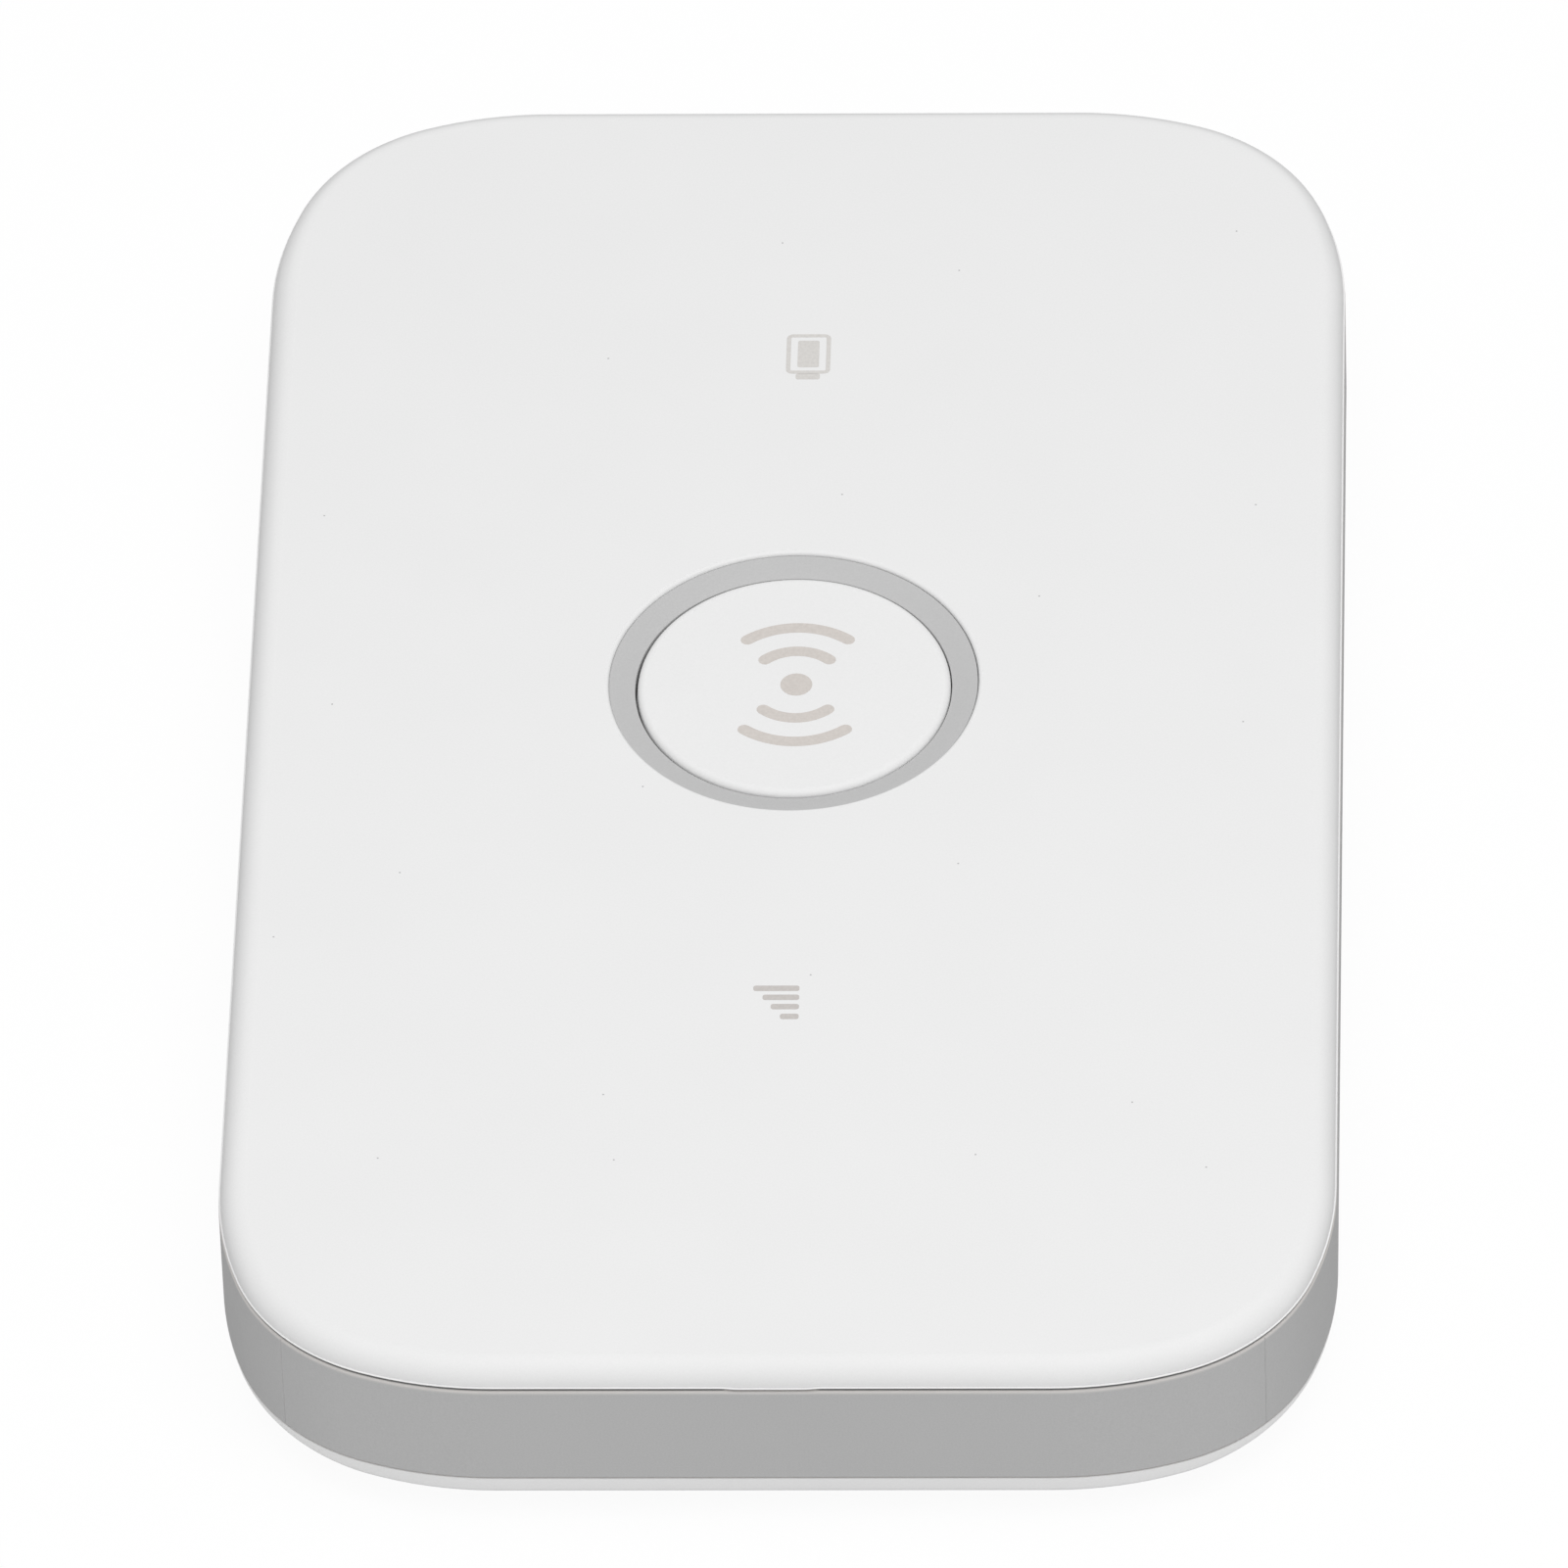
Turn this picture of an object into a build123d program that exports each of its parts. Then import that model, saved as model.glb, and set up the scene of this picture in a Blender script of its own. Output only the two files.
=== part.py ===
from build123d import *
from math import cos, radians, sin, tan
import os

# Pocket mobile hotspot. The origin is the centre of the underside, +Z points up through the top
# face, and +Y runs along the length towards the end with the charging socket. Millimetres.

os.makedirs("parts", exist_ok=True)

# ---- Driving dimensions ------------------------------------------------------------------------

width = 58.0
length = 96.8
thickness = 11.0

corner_end_radius = 20.0  # each corner eases in and out of a tighter middle arc
corner_mid_radius = 11.0
corner_end_turn = 20.0

cover_top = 3.15  # the back cover meets the side band
band_top = 9.60  # the side band meets the groove under the top shell
groove_height = 0.10
groove_depth = 0.40
bay_floor = 5.60  # roof of the battery bay, seen with the hotspot upright
board_low = 6.20
board_thickness = 0.80
shell_inner = 9.80

cover_wall = 0.90
band_wall = 1.10
skirt_wall = 0.80
running_gap = 0.05

button_y = 2.96
bezel_radius = 9.80
button_radius = 8.31
button_top = 10.66
button_travel = 0.30
reset_travel = 0.25

board_top = board_low + board_thickness
shell_low = band_top + groove_height
turn = radians(corner_end_turn)
corner_span = corner_end_radius * (sin(turn) + 1 - cos(turn)) + corner_mid_radius * (
    cos(turn) - sin(turn)
)

# Case screws: two beside the charging socket and two at the other end.
screw_places = [(-21.5, 38.0), (21.5, 38.0), (-14.0, -43.9), (14.0, -43.9)]
screw_radius = 0.75
screw_seat = 4.20
screw_tip = 9.00
boss_radius = 1.90


def plan_outline(inset=0.0):
    """Return the plan shape of the casing, moved in by inset."""
    with BuildSketch() as outline:
        with BuildLine():
            side = Line((width / 2, 0), (width / 2, length / 2 - corner_span))
            ease_in = JernArc(side @ 1, side % 1, corner_end_radius, corner_end_turn)
            middle = JernArc(ease_in @ 1, ease_in % 1, corner_mid_radius, 90 - 2 * corner_end_turn)
            ease_out = JernArc(middle @ 1, middle % 1, corner_end_radius, corner_end_turn)
            Line(ease_out @ 1, (0, length / 2))
            mirror(about=Plane.YZ)
            mirror(about=Plane.XZ)
        make_face()
        if inset:
            offset(amount=-inset, mode=Mode.REPLACE)
    return outline.sketch


def plan_ring(outer_inset, inner_inset):
    """Return the band of plan area between two insets of the casing's outline."""
    with BuildSketch() as ring:
        add(plan_outline(outer_inset))
        add(plan_outline(inner_inset), mode=Mode.SUBTRACT)
    return ring.sketch


# ---- Back cover --------------------------------------------------------------------------------

cover_inset = 0.02
cover_knee = 2.254  # below this height the side slopes in to the base
cover_slope = 50.0  # degrees from upright
cover_knee_fillet = 0.40
cover_base_fillet = 2.00
cover_rim_fillet = 0.12
cover_floor = 0.90
tab_inset = band_wall + 0.10
tab_inner_inset = 2.00
tab_length = 6.0
tab_low = 1.60
tab_top = 4.50
tab_places = [(x, y) for x in (-27.4, 27.4) for y in (-26.0, 0.0, 26.0)]
tab_places += [(x, y) for x in (-10.0, 10.0) for y in (-46.8, 46.8)]
nail_notch_x = -18.0
nail_notch_width = 9.0
nail_notch_height = 0.80


def tab_outline(outer_inset):
    """Return the plan of the locating tabs, from outer_inset to their inner faces."""
    with BuildSketch() as tabs:
        with Locations(*tab_places):
            Rectangle(tab_length, tab_length)
        add(plan_ring(outer_inset, tab_inner_inset), mode=Mode.INTERSECT)
    return tabs.sketch


def sloped_blank(inset, low, knee):
    """Return a blank with upright sides down to the knee and sloping ones down to its base."""
    with BuildPart() as blank:
        with BuildSketch(Plane.XY.offset(knee)):
            add(plan_outline(inset))
        extrude(amount=cover_top - knee)
        with BuildSketch(Plane.XY.offset(knee)):
            add(plan_outline(inset))
        extrude(amount=low - knee, taper=cover_slope)
    return blank.part


# The hollow keeps the same wall all round: its knee lies where the two inner faces meet.
hollow_knee = cover_knee + cover_wall * tan(radians(cover_slope) / 2)

with BuildPart() as back_cover:
    add(sloped_blank(cover_inset, 0, cover_knee))
    fillet(back_cover.faces().sort_by(Axis.Z)[0].edges(), radius=cover_base_fillet)
    knee = back_cover.edges().filter_by_position(Axis.Z, cover_knee, cover_knee)
    fillet(knee, radius=cover_knee_fillet)
    fillet(back_cover.faces().sort_by(Axis.Z)[-1].edges(), radius=cover_rim_fillet)
    add(sloped_blank(cover_inset + cover_wall, cover_floor, hollow_knee), mode=Mode.SUBTRACT)
    with BuildSketch(Plane.XY.offset(tab_low)):
        add(tab_outline(cover_inset + cover_wall))
    extrude(amount=cover_top - tab_low)
    with BuildSketch(Plane.XY.offset(cover_top)):
        add(tab_outline(tab_inset))
    extrude(amount=tab_top - cover_top)
    with BuildSketch(Plane.XY.offset(cover_top)):
        with Locations((nail_notch_x, length / 2)):
            Rectangle(nail_notch_width, 2 * cover_wall)
    extrude(amount=-nail_notch_height, mode=Mode.SUBTRACT)
back_cover.part.label = "back_cover"
export_step(back_cover.part, "parts/back_cover.step")

# ---- Side band ---------------------------------------------------------------------------------

band_edge_radius = 0.15
port_z = 6.40
port_width = 8.60
port_height = 3.40
nib_width = 5.0
nib_drop = 0.10
mould_line_x = 25.40
mould_line_y = -44.50
mould_line_angle = 50.0
mould_line_width = 0.08
mould_line_depth = 0.04

with BuildPart() as side_band:
    with BuildSketch(Plane.XY.offset(cover_top)):
        add(plan_ring(0, band_wall))
    extrude(amount=band_top - cover_top)
    fillet(side_band.faces().sort_by(Axis.Z)[-1].outer_wire().edges(), radius=band_edge_radius)
    fillet(side_band.faces().sort_by(Axis.Z)[0].outer_wire().edges(), radius=band_edge_radius)
    with BuildSketch(Plane.XY.offset(band_top)):
        add(plan_ring(groove_depth, band_wall))
    extrude(amount=groove_height)
    # Opening for the charging socket.
    with BuildSketch(Plane.XZ.offset(-length / 2)):
        with Locations((0, port_z)):
            RectangleRounded(port_width, port_height, port_height / 2 - running_gap)
    extrude(amount=2 * band_wall, mode=Mode.SUBTRACT)
    # Notch that takes the top shell's nib.
    with BuildSketch(Plane.XY.offset(shell_low)):
        with Locations((0, -length / 2)):
            Rectangle(nib_width + 4 * running_gap, 2 * groove_depth)
    extrude(amount=-nib_drop - groove_height, mode=Mode.SUBTRACT)
    # Fine mould lines on the two near corners.
    with BuildSketch(Plane.XY.offset(cover_top)):
        for side_sign in (-1, 1):
            with Locations((side_sign * mould_line_x, mould_line_y)):
                Rectangle(2 * band_wall, mould_line_width, rotation=-side_sign * mould_line_angle)
        add(plan_ring(0, mould_line_depth), mode=Mode.INTERSECT)
    extrude(amount=band_top - cover_top, mode=Mode.SUBTRACT)
side_band.part.label = "side_band"
export_step(side_band.part, "parts/side_band.step")

# ---- Top shell ---------------------------------------------------------------------------------

shell_inset = 0.03
shell_edge_radius = 1.30  # takes up the whole height between the groove and the top face
shell_low_fillet = 0.12
hole_fillet = 0.20
skirt_inset = band_wall + running_gap
skirt_low = 8.40
battery_icon_y = 28.2
signal_icon_y = -21.3
guide_width = 3.60
guide_length = 4.60
guide_top = 10.40
guide_corner = 0.50

with BuildPart() as top_shell:
    with BuildSketch(Plane.XY.offset(skirt_low)):
        add(plan_outline(shell_inset))
    extrude(amount=thickness - skirt_low)
    fillet(top_shell.faces().sort_by(Axis.Z)[-1].edges(), radius=shell_edge_radius)
    split(bisect_by=Plane.XY.offset(shell_low), keep=Keep.TOP)
    fillet(top_shell.faces().sort_by(Axis.Z)[0].edges(), radius=shell_low_fillet)
    with BuildSketch(Plane.XY.offset(shell_low)):
        add(plan_outline(skirt_inset + skirt_wall))
    extrude(amount=shell_inner - shell_low, mode=Mode.SUBTRACT)
    with BuildSketch(Plane.XY.offset(shell_low)):
        add(plan_ring(skirt_inset, skirt_inset + skirt_wall))
    extrude(amount=skirt_low - shell_low)
    # Screw bosses reach down to the circuit board.
    with BuildSketch(Plane.XY.offset(board_top)):
        with Locations(*screw_places):
            Circle(boss_radius)
    extrude(amount=shell_inner - board_top)
    with BuildSketch(Plane.XY.offset(board_top)):
        with Locations(*screw_places):
            Circle(screw_radius)
    extrude(amount=screw_tip - board_top, mode=Mode.SUBTRACT)
    # Opening for the bezel ring, and thin places over the two light guides.
    with BuildSketch(Plane.XY.offset(shell_inner)):
        with Locations((0, button_y)):
            Circle(bezel_radius)
    extrude(amount=thickness - shell_inner, mode=Mode.SUBTRACT)
    fillet(top_shell.edges().filter_by(GeomType.CIRCLE).group_by(Axis.Z)[-1], radius=hole_fillet)
    with BuildSketch(Plane.XY.offset(shell_inner)):
        with Locations((0, battery_icon_y), (0, signal_icon_y)):
            RectangleRounded(guide_width, guide_length, guide_corner)
    extrude(amount=guide_top - shell_inner, mode=Mode.SUBTRACT)
    # Nib in the middle of the near end, which drops into the side band.
    with BuildSketch(Plane.XY.offset(shell_low + shell_low_fillet)):
        with Locations((0, -length / 2 + shell_inset + groove_depth / 2 - running_gap)):
            Rectangle(nib_width, groove_depth - 2 * running_gap)
    extrude(amount=-nib_drop - shell_low_fillet)
top_shell.part.label = "top_shell"
export_step(top_shell.part, "parts/top_shell.step")

# ---- Bezel ring and power button ---------------------------------------------------------------

bezel_face = 10.80
bezel_dish = 10.42
bezel_bore = 8.40
bezel_low = 9.30
bezel_flange_radius = 10.80
guide_fork_low = 8.35
guide_fork_radius = 9.90
guide_fork_width = 3.20
guide_fork_thickness = 0.90

button_rounding = 0.40
button_skin = 1.00
button_wall = 1.00
button_flange_radius = 9.10
button_flange_low = 8.85
button_flange_top = 9.20
button_post_radius = 1.60
key_width = 1.60
switch_plunger_top = 8.50

with BuildPart() as bezel_ring:
    with BuildSketch(Plane.XZ.offset(-button_y)):
        with BuildLine():
            Polyline(
                (bezel_bore, bezel_low),
                (bezel_flange_radius, bezel_low),
                (bezel_flange_radius, shell_inner),
                (bezel_radius - running_gap / 2, shell_inner),
                (bezel_radius - running_gap / 2, bezel_face),
                (bezel_bore, bezel_dish),
                close=True,
            )
        make_face()
    revolve(axis=Axis((0, button_y, 0), (0, 0, 1)))
    # Fork that holds the button's key, so that the button can't turn.
    with BuildSketch(Plane.XY.offset(bezel_low)):
        with Locations((guide_fork_radius, button_y)):
            Rectangle(guide_fork_thickness, guide_fork_width)
            Rectangle(guide_fork_thickness, key_width + 4 * running_gap, mode=Mode.SUBTRACT)
    extrude(amount=guide_fork_low - bezel_low)
bezel_ring.part.label = "bezel_ring"
export_step(bezel_ring.part, "parts/bezel_ring.step")

with BuildPart() as power_button:
    with BuildSketch(Plane.XY.offset(button_flange_top)):
        with Locations((0, button_y)):
            Circle(button_radius)
    extrude(amount=button_top - button_flange_top)
    fillet(power_button.edges().group_by(Axis.Z)[-1], radius=button_rounding)
    with BuildSketch(Plane.XY.offset(button_flange_low)):
        with Locations((0, button_y)):
            Circle(button_flange_radius)
        with Locations((guide_fork_radius / 2, button_y)):
            Rectangle(guide_fork_radius + guide_fork_thickness, key_width)
    extrude(amount=button_flange_top - button_flange_low)
    with BuildSketch(Plane.XY.offset(button_flange_low)):
        with Locations((0, button_y)):
            Circle(button_radius - button_wall)
    extrude(amount=button_top - button_skin - button_flange_low, mode=Mode.SUBTRACT)
    with BuildSketch(Plane.XY.offset(switch_plunger_top)):
        with Locations((0, button_y)):
            Circle(button_post_radius)
    extrude(amount=button_top - button_skin - switch_plunger_top)
power_button.part.label = "power_button"
export_step(power_button.part, "parts/power_button.step")

# ---- Chassis: battery bay and socket deck ------------------------------------------------------

chassis_low = 1.50
chassis_low_inset = 2.50
chassis_step = 4.80  # above this the chassis fills the side band
battery_width = 48.0
battery_length = 58.0
battery_y = -12.5
battery_corner = 2.0
bay_gap = 0.30
deck_thickness = 0.80
deck_y_low = 18.60
deck_y_high = 45.0
deck_width = 47.0
counterbore_radius = 1.40
column_radius = 2.60
screw_clearance = 0.90

sim_x = -9.0
sim_width = 26.6
sim_length = 16.0
sim_low = 4.60
card_slot_width = 26.0
contact_x = 14.0
contact_block_width = 11.6
contact_block_low = 2.40
contact_block_length = 4.60
reset_x = 20.0
reset_y = 30.0
pinhole_radius = 0.60
funnel_radius = 1.60
funnel_top = 4.50

usb_width = 7.50
usb_height = 2.60
usb_length = 5.40
usb_front = length / 2 - 0.40
usb_side_gap = 0.30

battery_end = battery_y + battery_length / 2
bay_end = battery_end + bay_gap
deck_floor = chassis_low + deck_thickness
deck_middle = (deck_y_low + deck_y_high) / 2
contact_block_y = bay_end + 0.20

with BuildPart() as chassis:
    with BuildSketch(Plane.XY.offset(chassis_low)):
        add(plan_outline(chassis_low_inset))
    extrude(amount=chassis_step - chassis_low)
    with BuildSketch(Plane.XY.offset(chassis_step)):
        add(plan_outline(skirt_inset))
    extrude(amount=board_low - chassis_step)
    with BuildSketch(Plane.XY.offset(chassis_low)):
        with Locations((0, battery_y)):
            RectangleRounded(
                battery_width + 2 * bay_gap, battery_length + 2 * bay_gap, battery_corner
            )
    extrude(amount=bay_floor - chassis_low, mode=Mode.SUBTRACT)
    # Hollow over the deck, which leaves room for what hangs from the board.
    with BuildSketch(Plane.XY.offset(deck_floor)):
        with Locations((0, deck_middle)):
            Rectangle(deck_width, deck_y_high - deck_y_low)
        add(plan_outline(chassis_low_inset + deck_thickness), mode=Mode.INTERSECT)
    extrude(amount=board_low - deck_floor, mode=Mode.SUBTRACT)
    with BuildSketch(Plane.XY.offset(deck_floor)):
        with Locations(*screw_places[:2]):
            Circle(column_radius)
        with Locations((reset_x, reset_y)):
            Circle(funnel_radius)
    extrude(amount=funnel_top - deck_floor)
    with BuildSketch(Plane.XY.offset(funnel_top)):
        with Locations(*screw_places[:2]):
            Circle(column_radius)
    extrude(amount=board_low - funnel_top)
    # Screw seats, screw holes and the reset pinhole.
    with BuildSketch(Plane.XY.offset(chassis_low)):
        with Locations(*screw_places):
            Circle(counterbore_radius)
    extrude(amount=screw_seat - chassis_low, mode=Mode.SUBTRACT)
    with BuildSketch(Plane.XY.offset(chassis_low)):
        with Locations(*screw_places):
            Circle(screw_clearance)
        with Locations((reset_x, reset_y)):
            Circle(pinhole_radius)
    extrude(amount=board_low - chassis_low, mode=Mode.SUBTRACT)
    # Slot that lets a card slide out of the bay into its socket.
    with BuildSketch(Plane.XY.offset(sim_low)):
        with Locations((sim_x, (bay_end + deck_y_low) / 2)):
            Rectangle(card_slot_width, 2 * (deck_y_low - bay_end))
    extrude(amount=bay_floor - sim_low, mode=Mode.SUBTRACT)
    # Gap in the same wall for the battery contact block.
    with BuildSketch(Plane.XY.offset(contact_block_low - bay_gap)):
        with Locations((contact_x, deck_y_low)):
            Rectangle(contact_block_width + 2 * bay_gap, 2 * (deck_y_low - bay_end))
    extrude(amount=board_low - contact_block_low + bay_gap, mode=Mode.SUBTRACT)
    # Way out for the charging socket.
    with BuildSketch(Plane.XY.offset(port_z - usb_height / 2 - bay_gap)):
        with Locations((0, length / 2)):
            Rectangle(usb_width + 4 * bay_gap, 2 * (length / 2 - deck_y_high + bay_gap))
    extrude(amount=usb_height, mode=Mode.SUBTRACT)
chassis.part.label = "chassis"
export_step(chassis.part, "parts/chassis.step")

# ---- Battery -----------------------------------------------------------------------------------

battery_low = 1.10
battery_top = 5.50
battery_edge = 0.80
label_width = 40.0
label_length = 50.0
label_thickness = 0.05
contact_pitch = 2.80
contact_count = 4
terminal_width = 1.80
terminal_low = 2.60
terminal_height = 2.00
terminal_thickness = 0.15
contact_middle_z = terminal_low + terminal_height / 2

with BuildPart() as battery_pack:
    with BuildSketch(Plane.XY.offset(battery_low)):
        with Locations((0, battery_y)):
            RectangleRounded(battery_width, battery_length, battery_corner)
    extrude(amount=battery_top - battery_low)
    fillet(battery_pack.edges().group_by(Axis.Z)[-1], radius=battery_edge)
    fillet(battery_pack.edges().group_by(Axis.Z)[0], radius=battery_edge)
    with BuildSketch(Plane.XZ.offset(-battery_end)):
        with Locations((contact_x, contact_middle_z)):
            with GridLocations(contact_pitch, 0, contact_count, 1):
                Rectangle(terminal_width, terminal_height)
    extrude(amount=terminal_thickness, mode=Mode.SUBTRACT)
battery_pack.part.label = "battery_pack"
export_step(battery_pack.part, "parts/battery_pack.step")

with BuildPart() as battery_terminals:
    with BuildSketch(Plane.XZ.offset(-battery_end)):
        with Locations((contact_x, contact_middle_z)):
            with GridLocations(contact_pitch, 0, contact_count, 1):
                Rectangle(terminal_width, terminal_height)
    extrude(amount=terminal_thickness)
battery_terminals.part.label = "battery_terminals"
export_step(battery_terminals.part, "parts/battery_terminals.step")

with BuildPart() as battery_label:
    with BuildSketch(Plane.XY.offset(battery_low)):
        with Locations((0, battery_y)):
            RectangleRounded(label_width, label_length, battery_corner)
    extrude(amount=-label_thickness)
battery_label.part.label = "battery_label"
export_step(battery_label.part, "parts/battery_label.step")

# ---- Battery contacts --------------------------------------------------------------------------

finger_slot_width = 1.40
finger_width = 1.00
finger_thickness = 0.16
finger_slot_back = contact_block_y + 3.20
finger_foot_y = contact_block_y + 1.80
finger_knee_z = contact_middle_z + 1.30
finger_bend_radius = 0.30

with BuildPart() as contact_block:
    with BuildSketch(Plane.XY.offset(contact_block_low)):
        with Locations((contact_x, contact_block_y + contact_block_length / 2)):
            Rectangle(contact_block_width, contact_block_length)
    extrude(amount=board_low - contact_block_low)
    with BuildSketch(Plane.XY.offset(contact_block_low + deck_thickness / 2)):
        with Locations((contact_x, (contact_block_y + finger_slot_back) / 2)):
            with GridLocations(contact_pitch, 0, contact_count, 1):
                Rectangle(finger_slot_width, finger_slot_back - contact_block_y)
    extrude(amount=board_low - contact_block_low - deck_thickness, mode=Mode.SUBTRACT)
contact_block.part.label = "battery_contact_block"
export_step(contact_block.part, "parts/battery_contact_block.step")

with BuildPart() as contact_springs:
    for place in range(contact_count):
        finger_x = contact_x + (place - (contact_count - 1) / 2) * contact_pitch
        with BuildSketch(Plane.YZ.offset(finger_x)):
            with BuildLine():
                FilletPolyline(
                    (finger_slot_back - finger_thickness / 2, board_low - deck_thickness),
                    (finger_slot_back - finger_thickness / 2, finger_knee_z),
                    (battery_end + finger_thickness / 2, contact_middle_z),
                    (finger_foot_y, contact_block_low + deck_thickness),
                    radius=finger_bend_radius,
                )
            trace(line_width=finger_thickness)
        extrude(amount=finger_width / 2, both=True)
contact_springs.part.label = "battery_contact_springs"
export_step(contact_springs.part, "parts/battery_contact_springs.step")

# ---- Circuit board -----------------------------------------------------------------------------

board_inset = 2.20
board_hole_radius = 1.00
board_notch_width = usb_width + 2 * usb_side_gap
usb_back = usb_front - usb_length

with BuildPart() as main_board:
    with BuildSketch(Plane.XY.offset(board_low)):
        add(plan_outline(board_inset))
        with Locations(*screw_places):
            Circle(board_hole_radius, mode=Mode.SUBTRACT)
        with Locations((0, length / 2)):
            Rectangle(
                board_notch_width, 2 * (length / 2 - usb_back + usb_side_gap), mode=Mode.SUBTRACT
            )
    extrude(amount=board_thickness)
main_board.part.label = "main_board"
export_step(main_board.part, "parts/main_board.step")

# Shield cans: thin metal lids over the chips. Each row is name, centre, width and length.
can_height = 1.50
can_wall = 0.15
can_corner = 0.60
cans = [
    ("processor_shield", (-14.0, 26.0), 20.0, 24.0),
    ("power_shield", (14.5, 20.0), 19.0, 12.0),
    ("radio_shield", (0.0, -33.0), 32.0, 14.0),
]
for can_name, can_centre, can_width, can_length in cans:
    with BuildPart() as can:
        with BuildSketch(Plane.XY.offset(board_top)):
            with Locations(can_centre):
                RectangleRounded(can_width, can_length, can_corner)
        extrude(amount=can_height)
        fillet(can.edges().group_by(Axis.Z)[-1], radius=2 * can_wall)
        with BuildSketch(Plane.XY.offset(board_top)):
            with Locations(can_centre):
                RectangleRounded(
                    can_width - 2 * can_wall, can_length - 2 * can_wall, can_corner - can_wall
                )
        extrude(amount=can_height - can_wall, mode=Mode.SUBTRACT)
    can.part.label = can_name
    export_step(can.part, f"parts/{can_name}.step")

# Chips soldered under the cans. Each row is name, centres, width, length and height.
chips = [
    ("processor_chip", [(-14.0, 20.5)], 11.0, 11.0, 1.00),
    ("memory_chip", [(-14.0, 32.5)], 8.0, 9.0, 0.90),
    ("power_manager_chip", [(14.0, 20.0)], 6.0, 6.0, 0.85),
    ("radio_transceiver_chip", [(-9.0, -33.0)], 7.0, 7.0, 0.85),
    ("power_amplifier_chips", [(1.0, -33.0), (7.0, -33.0), (13.0, -33.0)], 4.0, 4.0, 0.80),
    ("wireless_lan_chip", [(-20.0, -10.0)], 5.0, 5.0, 0.80),
]
for chip_name, chip_centres, chip_width, chip_length, chip_height in chips:
    with BuildPart() as chip:
        with BuildSketch(Plane.XY.offset(board_top)):
            with Locations(*chip_centres):
                Rectangle(chip_width, chip_length)
        extrude(amount=chip_height)
    chip.part.label = chip_name
    export_step(chip.part, f"parts/{chip_name}.step")

pad_width = 14.0
pad_length = 16.0

with BuildPart() as thermal_pad:
    with BuildSketch(Plane.XY.offset(board_top + can_height)):
        with Locations(cans[0][1]):
            RectangleRounded(pad_width, pad_length, can_corner)
    extrude(amount=shell_inner - board_top - can_height)
thermal_pad.part.label = "thermal_pad"
export_step(thermal_pad.part, "parts/thermal_pad.step")

# Passive parts in short rows on the open areas of the board.
passive_width = 0.80
passive_length = 1.60
passive_height = 0.55
passive_columns = 4
passive_rows = 3
passive_pitch_x = 1.60
passive_pitch_y = 2.40
passive_fields = [(17.0, -9.0), (17.0, 3.0), (-18.0, 3.0), (-12.0, -18.0), (12.0, -18.0)]

with BuildPart() as board_components:
    with BuildSketch(Plane.XY.offset(board_top)):
        for field in passive_fields:
            with Locations(field):
                with GridLocations(passive_pitch_x, passive_pitch_y, passive_columns, passive_rows):
                    Rectangle(passive_width, passive_length)
    extrude(amount=passive_height)
board_components.part.label = "board_components"
export_step(board_components.part, "parts/board_components.step")

test_port_radius = 1.00
test_port_bore = 0.40
test_port_height = 1.20
test_port_places = [(-21.0, -26.0), (21.0, -26.0)]

with BuildPart() as test_ports:
    with BuildSketch(Plane.XY.offset(board_top)):
        with Locations(*test_port_places):
            Circle(test_port_radius)
            Circle(test_port_bore, mode=Mode.SUBTRACT)
    extrude(amount=test_port_height)
test_ports.part.label = "radio_test_ports"
export_step(test_ports.part, "parts/radio_test_ports.step")

# ---- Switches ----------------------------------------------------------------------------------

plunger_gap = 0.05
plunger_room = 1.5  # free depth behind a plunger, in units of its travel
power_switch_width = 5.20
power_switch_height = 1.10
power_plunger_radius = 1.00
power_plunger_seat = 0.80
reset_switch_width = 3.20
reset_switch_height = 1.10
reset_plunger_radius = 0.60
reset_plunger_low = 4.80
reset_plunger_seat = 0.70

with BuildPart() as power_switch_body:
    with BuildSketch(Plane.XY.offset(board_top)):
        with Locations((0, button_y)):
            RectangleRounded(power_switch_width, power_switch_width, can_corner)
    extrude(amount=power_switch_height)
    with BuildSketch(Plane.XY.offset(board_top + power_switch_height)):
        with Locations((0, button_y)):
            Circle(power_plunger_radius + plunger_gap)
    extrude(amount=-power_plunger_seat, mode=Mode.SUBTRACT)
power_switch_body.part.label = "power_switch_body"
export_step(power_switch_body.part, "parts/power_switch_body.step")

power_plunger_low = board_top + power_switch_height - power_plunger_seat + plunger_room * button_travel
with BuildPart() as power_switch_plunger:
    with BuildSketch(Plane.XY.offset(power_plunger_low)):
        with Locations((0, button_y)):
            Circle(power_plunger_radius)
    extrude(amount=switch_plunger_top - power_plunger_low)
power_switch_plunger.part.label = "power_switch_plunger"
export_step(power_switch_plunger.part, "parts/power_switch_plunger.step")

with BuildPart() as reset_switch_body:
    with BuildSketch(Plane.XY.offset(board_low)):
        with Locations((reset_x, reset_y)):
            RectangleRounded(reset_switch_width, reset_switch_width, can_corner)
    extrude(amount=-reset_switch_height)
    with BuildSketch(Plane.XY.offset(board_low - reset_switch_height)):
        with Locations((reset_x, reset_y)):
            Circle(reset_plunger_radius + plunger_gap)
    extrude(amount=reset_plunger_seat, mode=Mode.SUBTRACT)
reset_switch_body.part.label = "reset_switch_body"
export_step(reset_switch_body.part, "parts/reset_switch_body.step")

reset_plunger_top = board_low - reset_switch_height + reset_plunger_seat - plunger_room * reset_travel
with BuildPart() as reset_switch_plunger:
    with BuildSketch(Plane.XY.offset(reset_plunger_low)):
        with Locations((reset_x, reset_y)):
            Circle(reset_plunger_radius)
    extrude(amount=reset_plunger_top - reset_plunger_low)
reset_switch_plunger.part.label = "reset_switch_plunger"
export_step(reset_switch_plunger.part, "parts/reset_switch_plunger.step")

# ---- Charging socket ---------------------------------------------------------------------------

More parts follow.
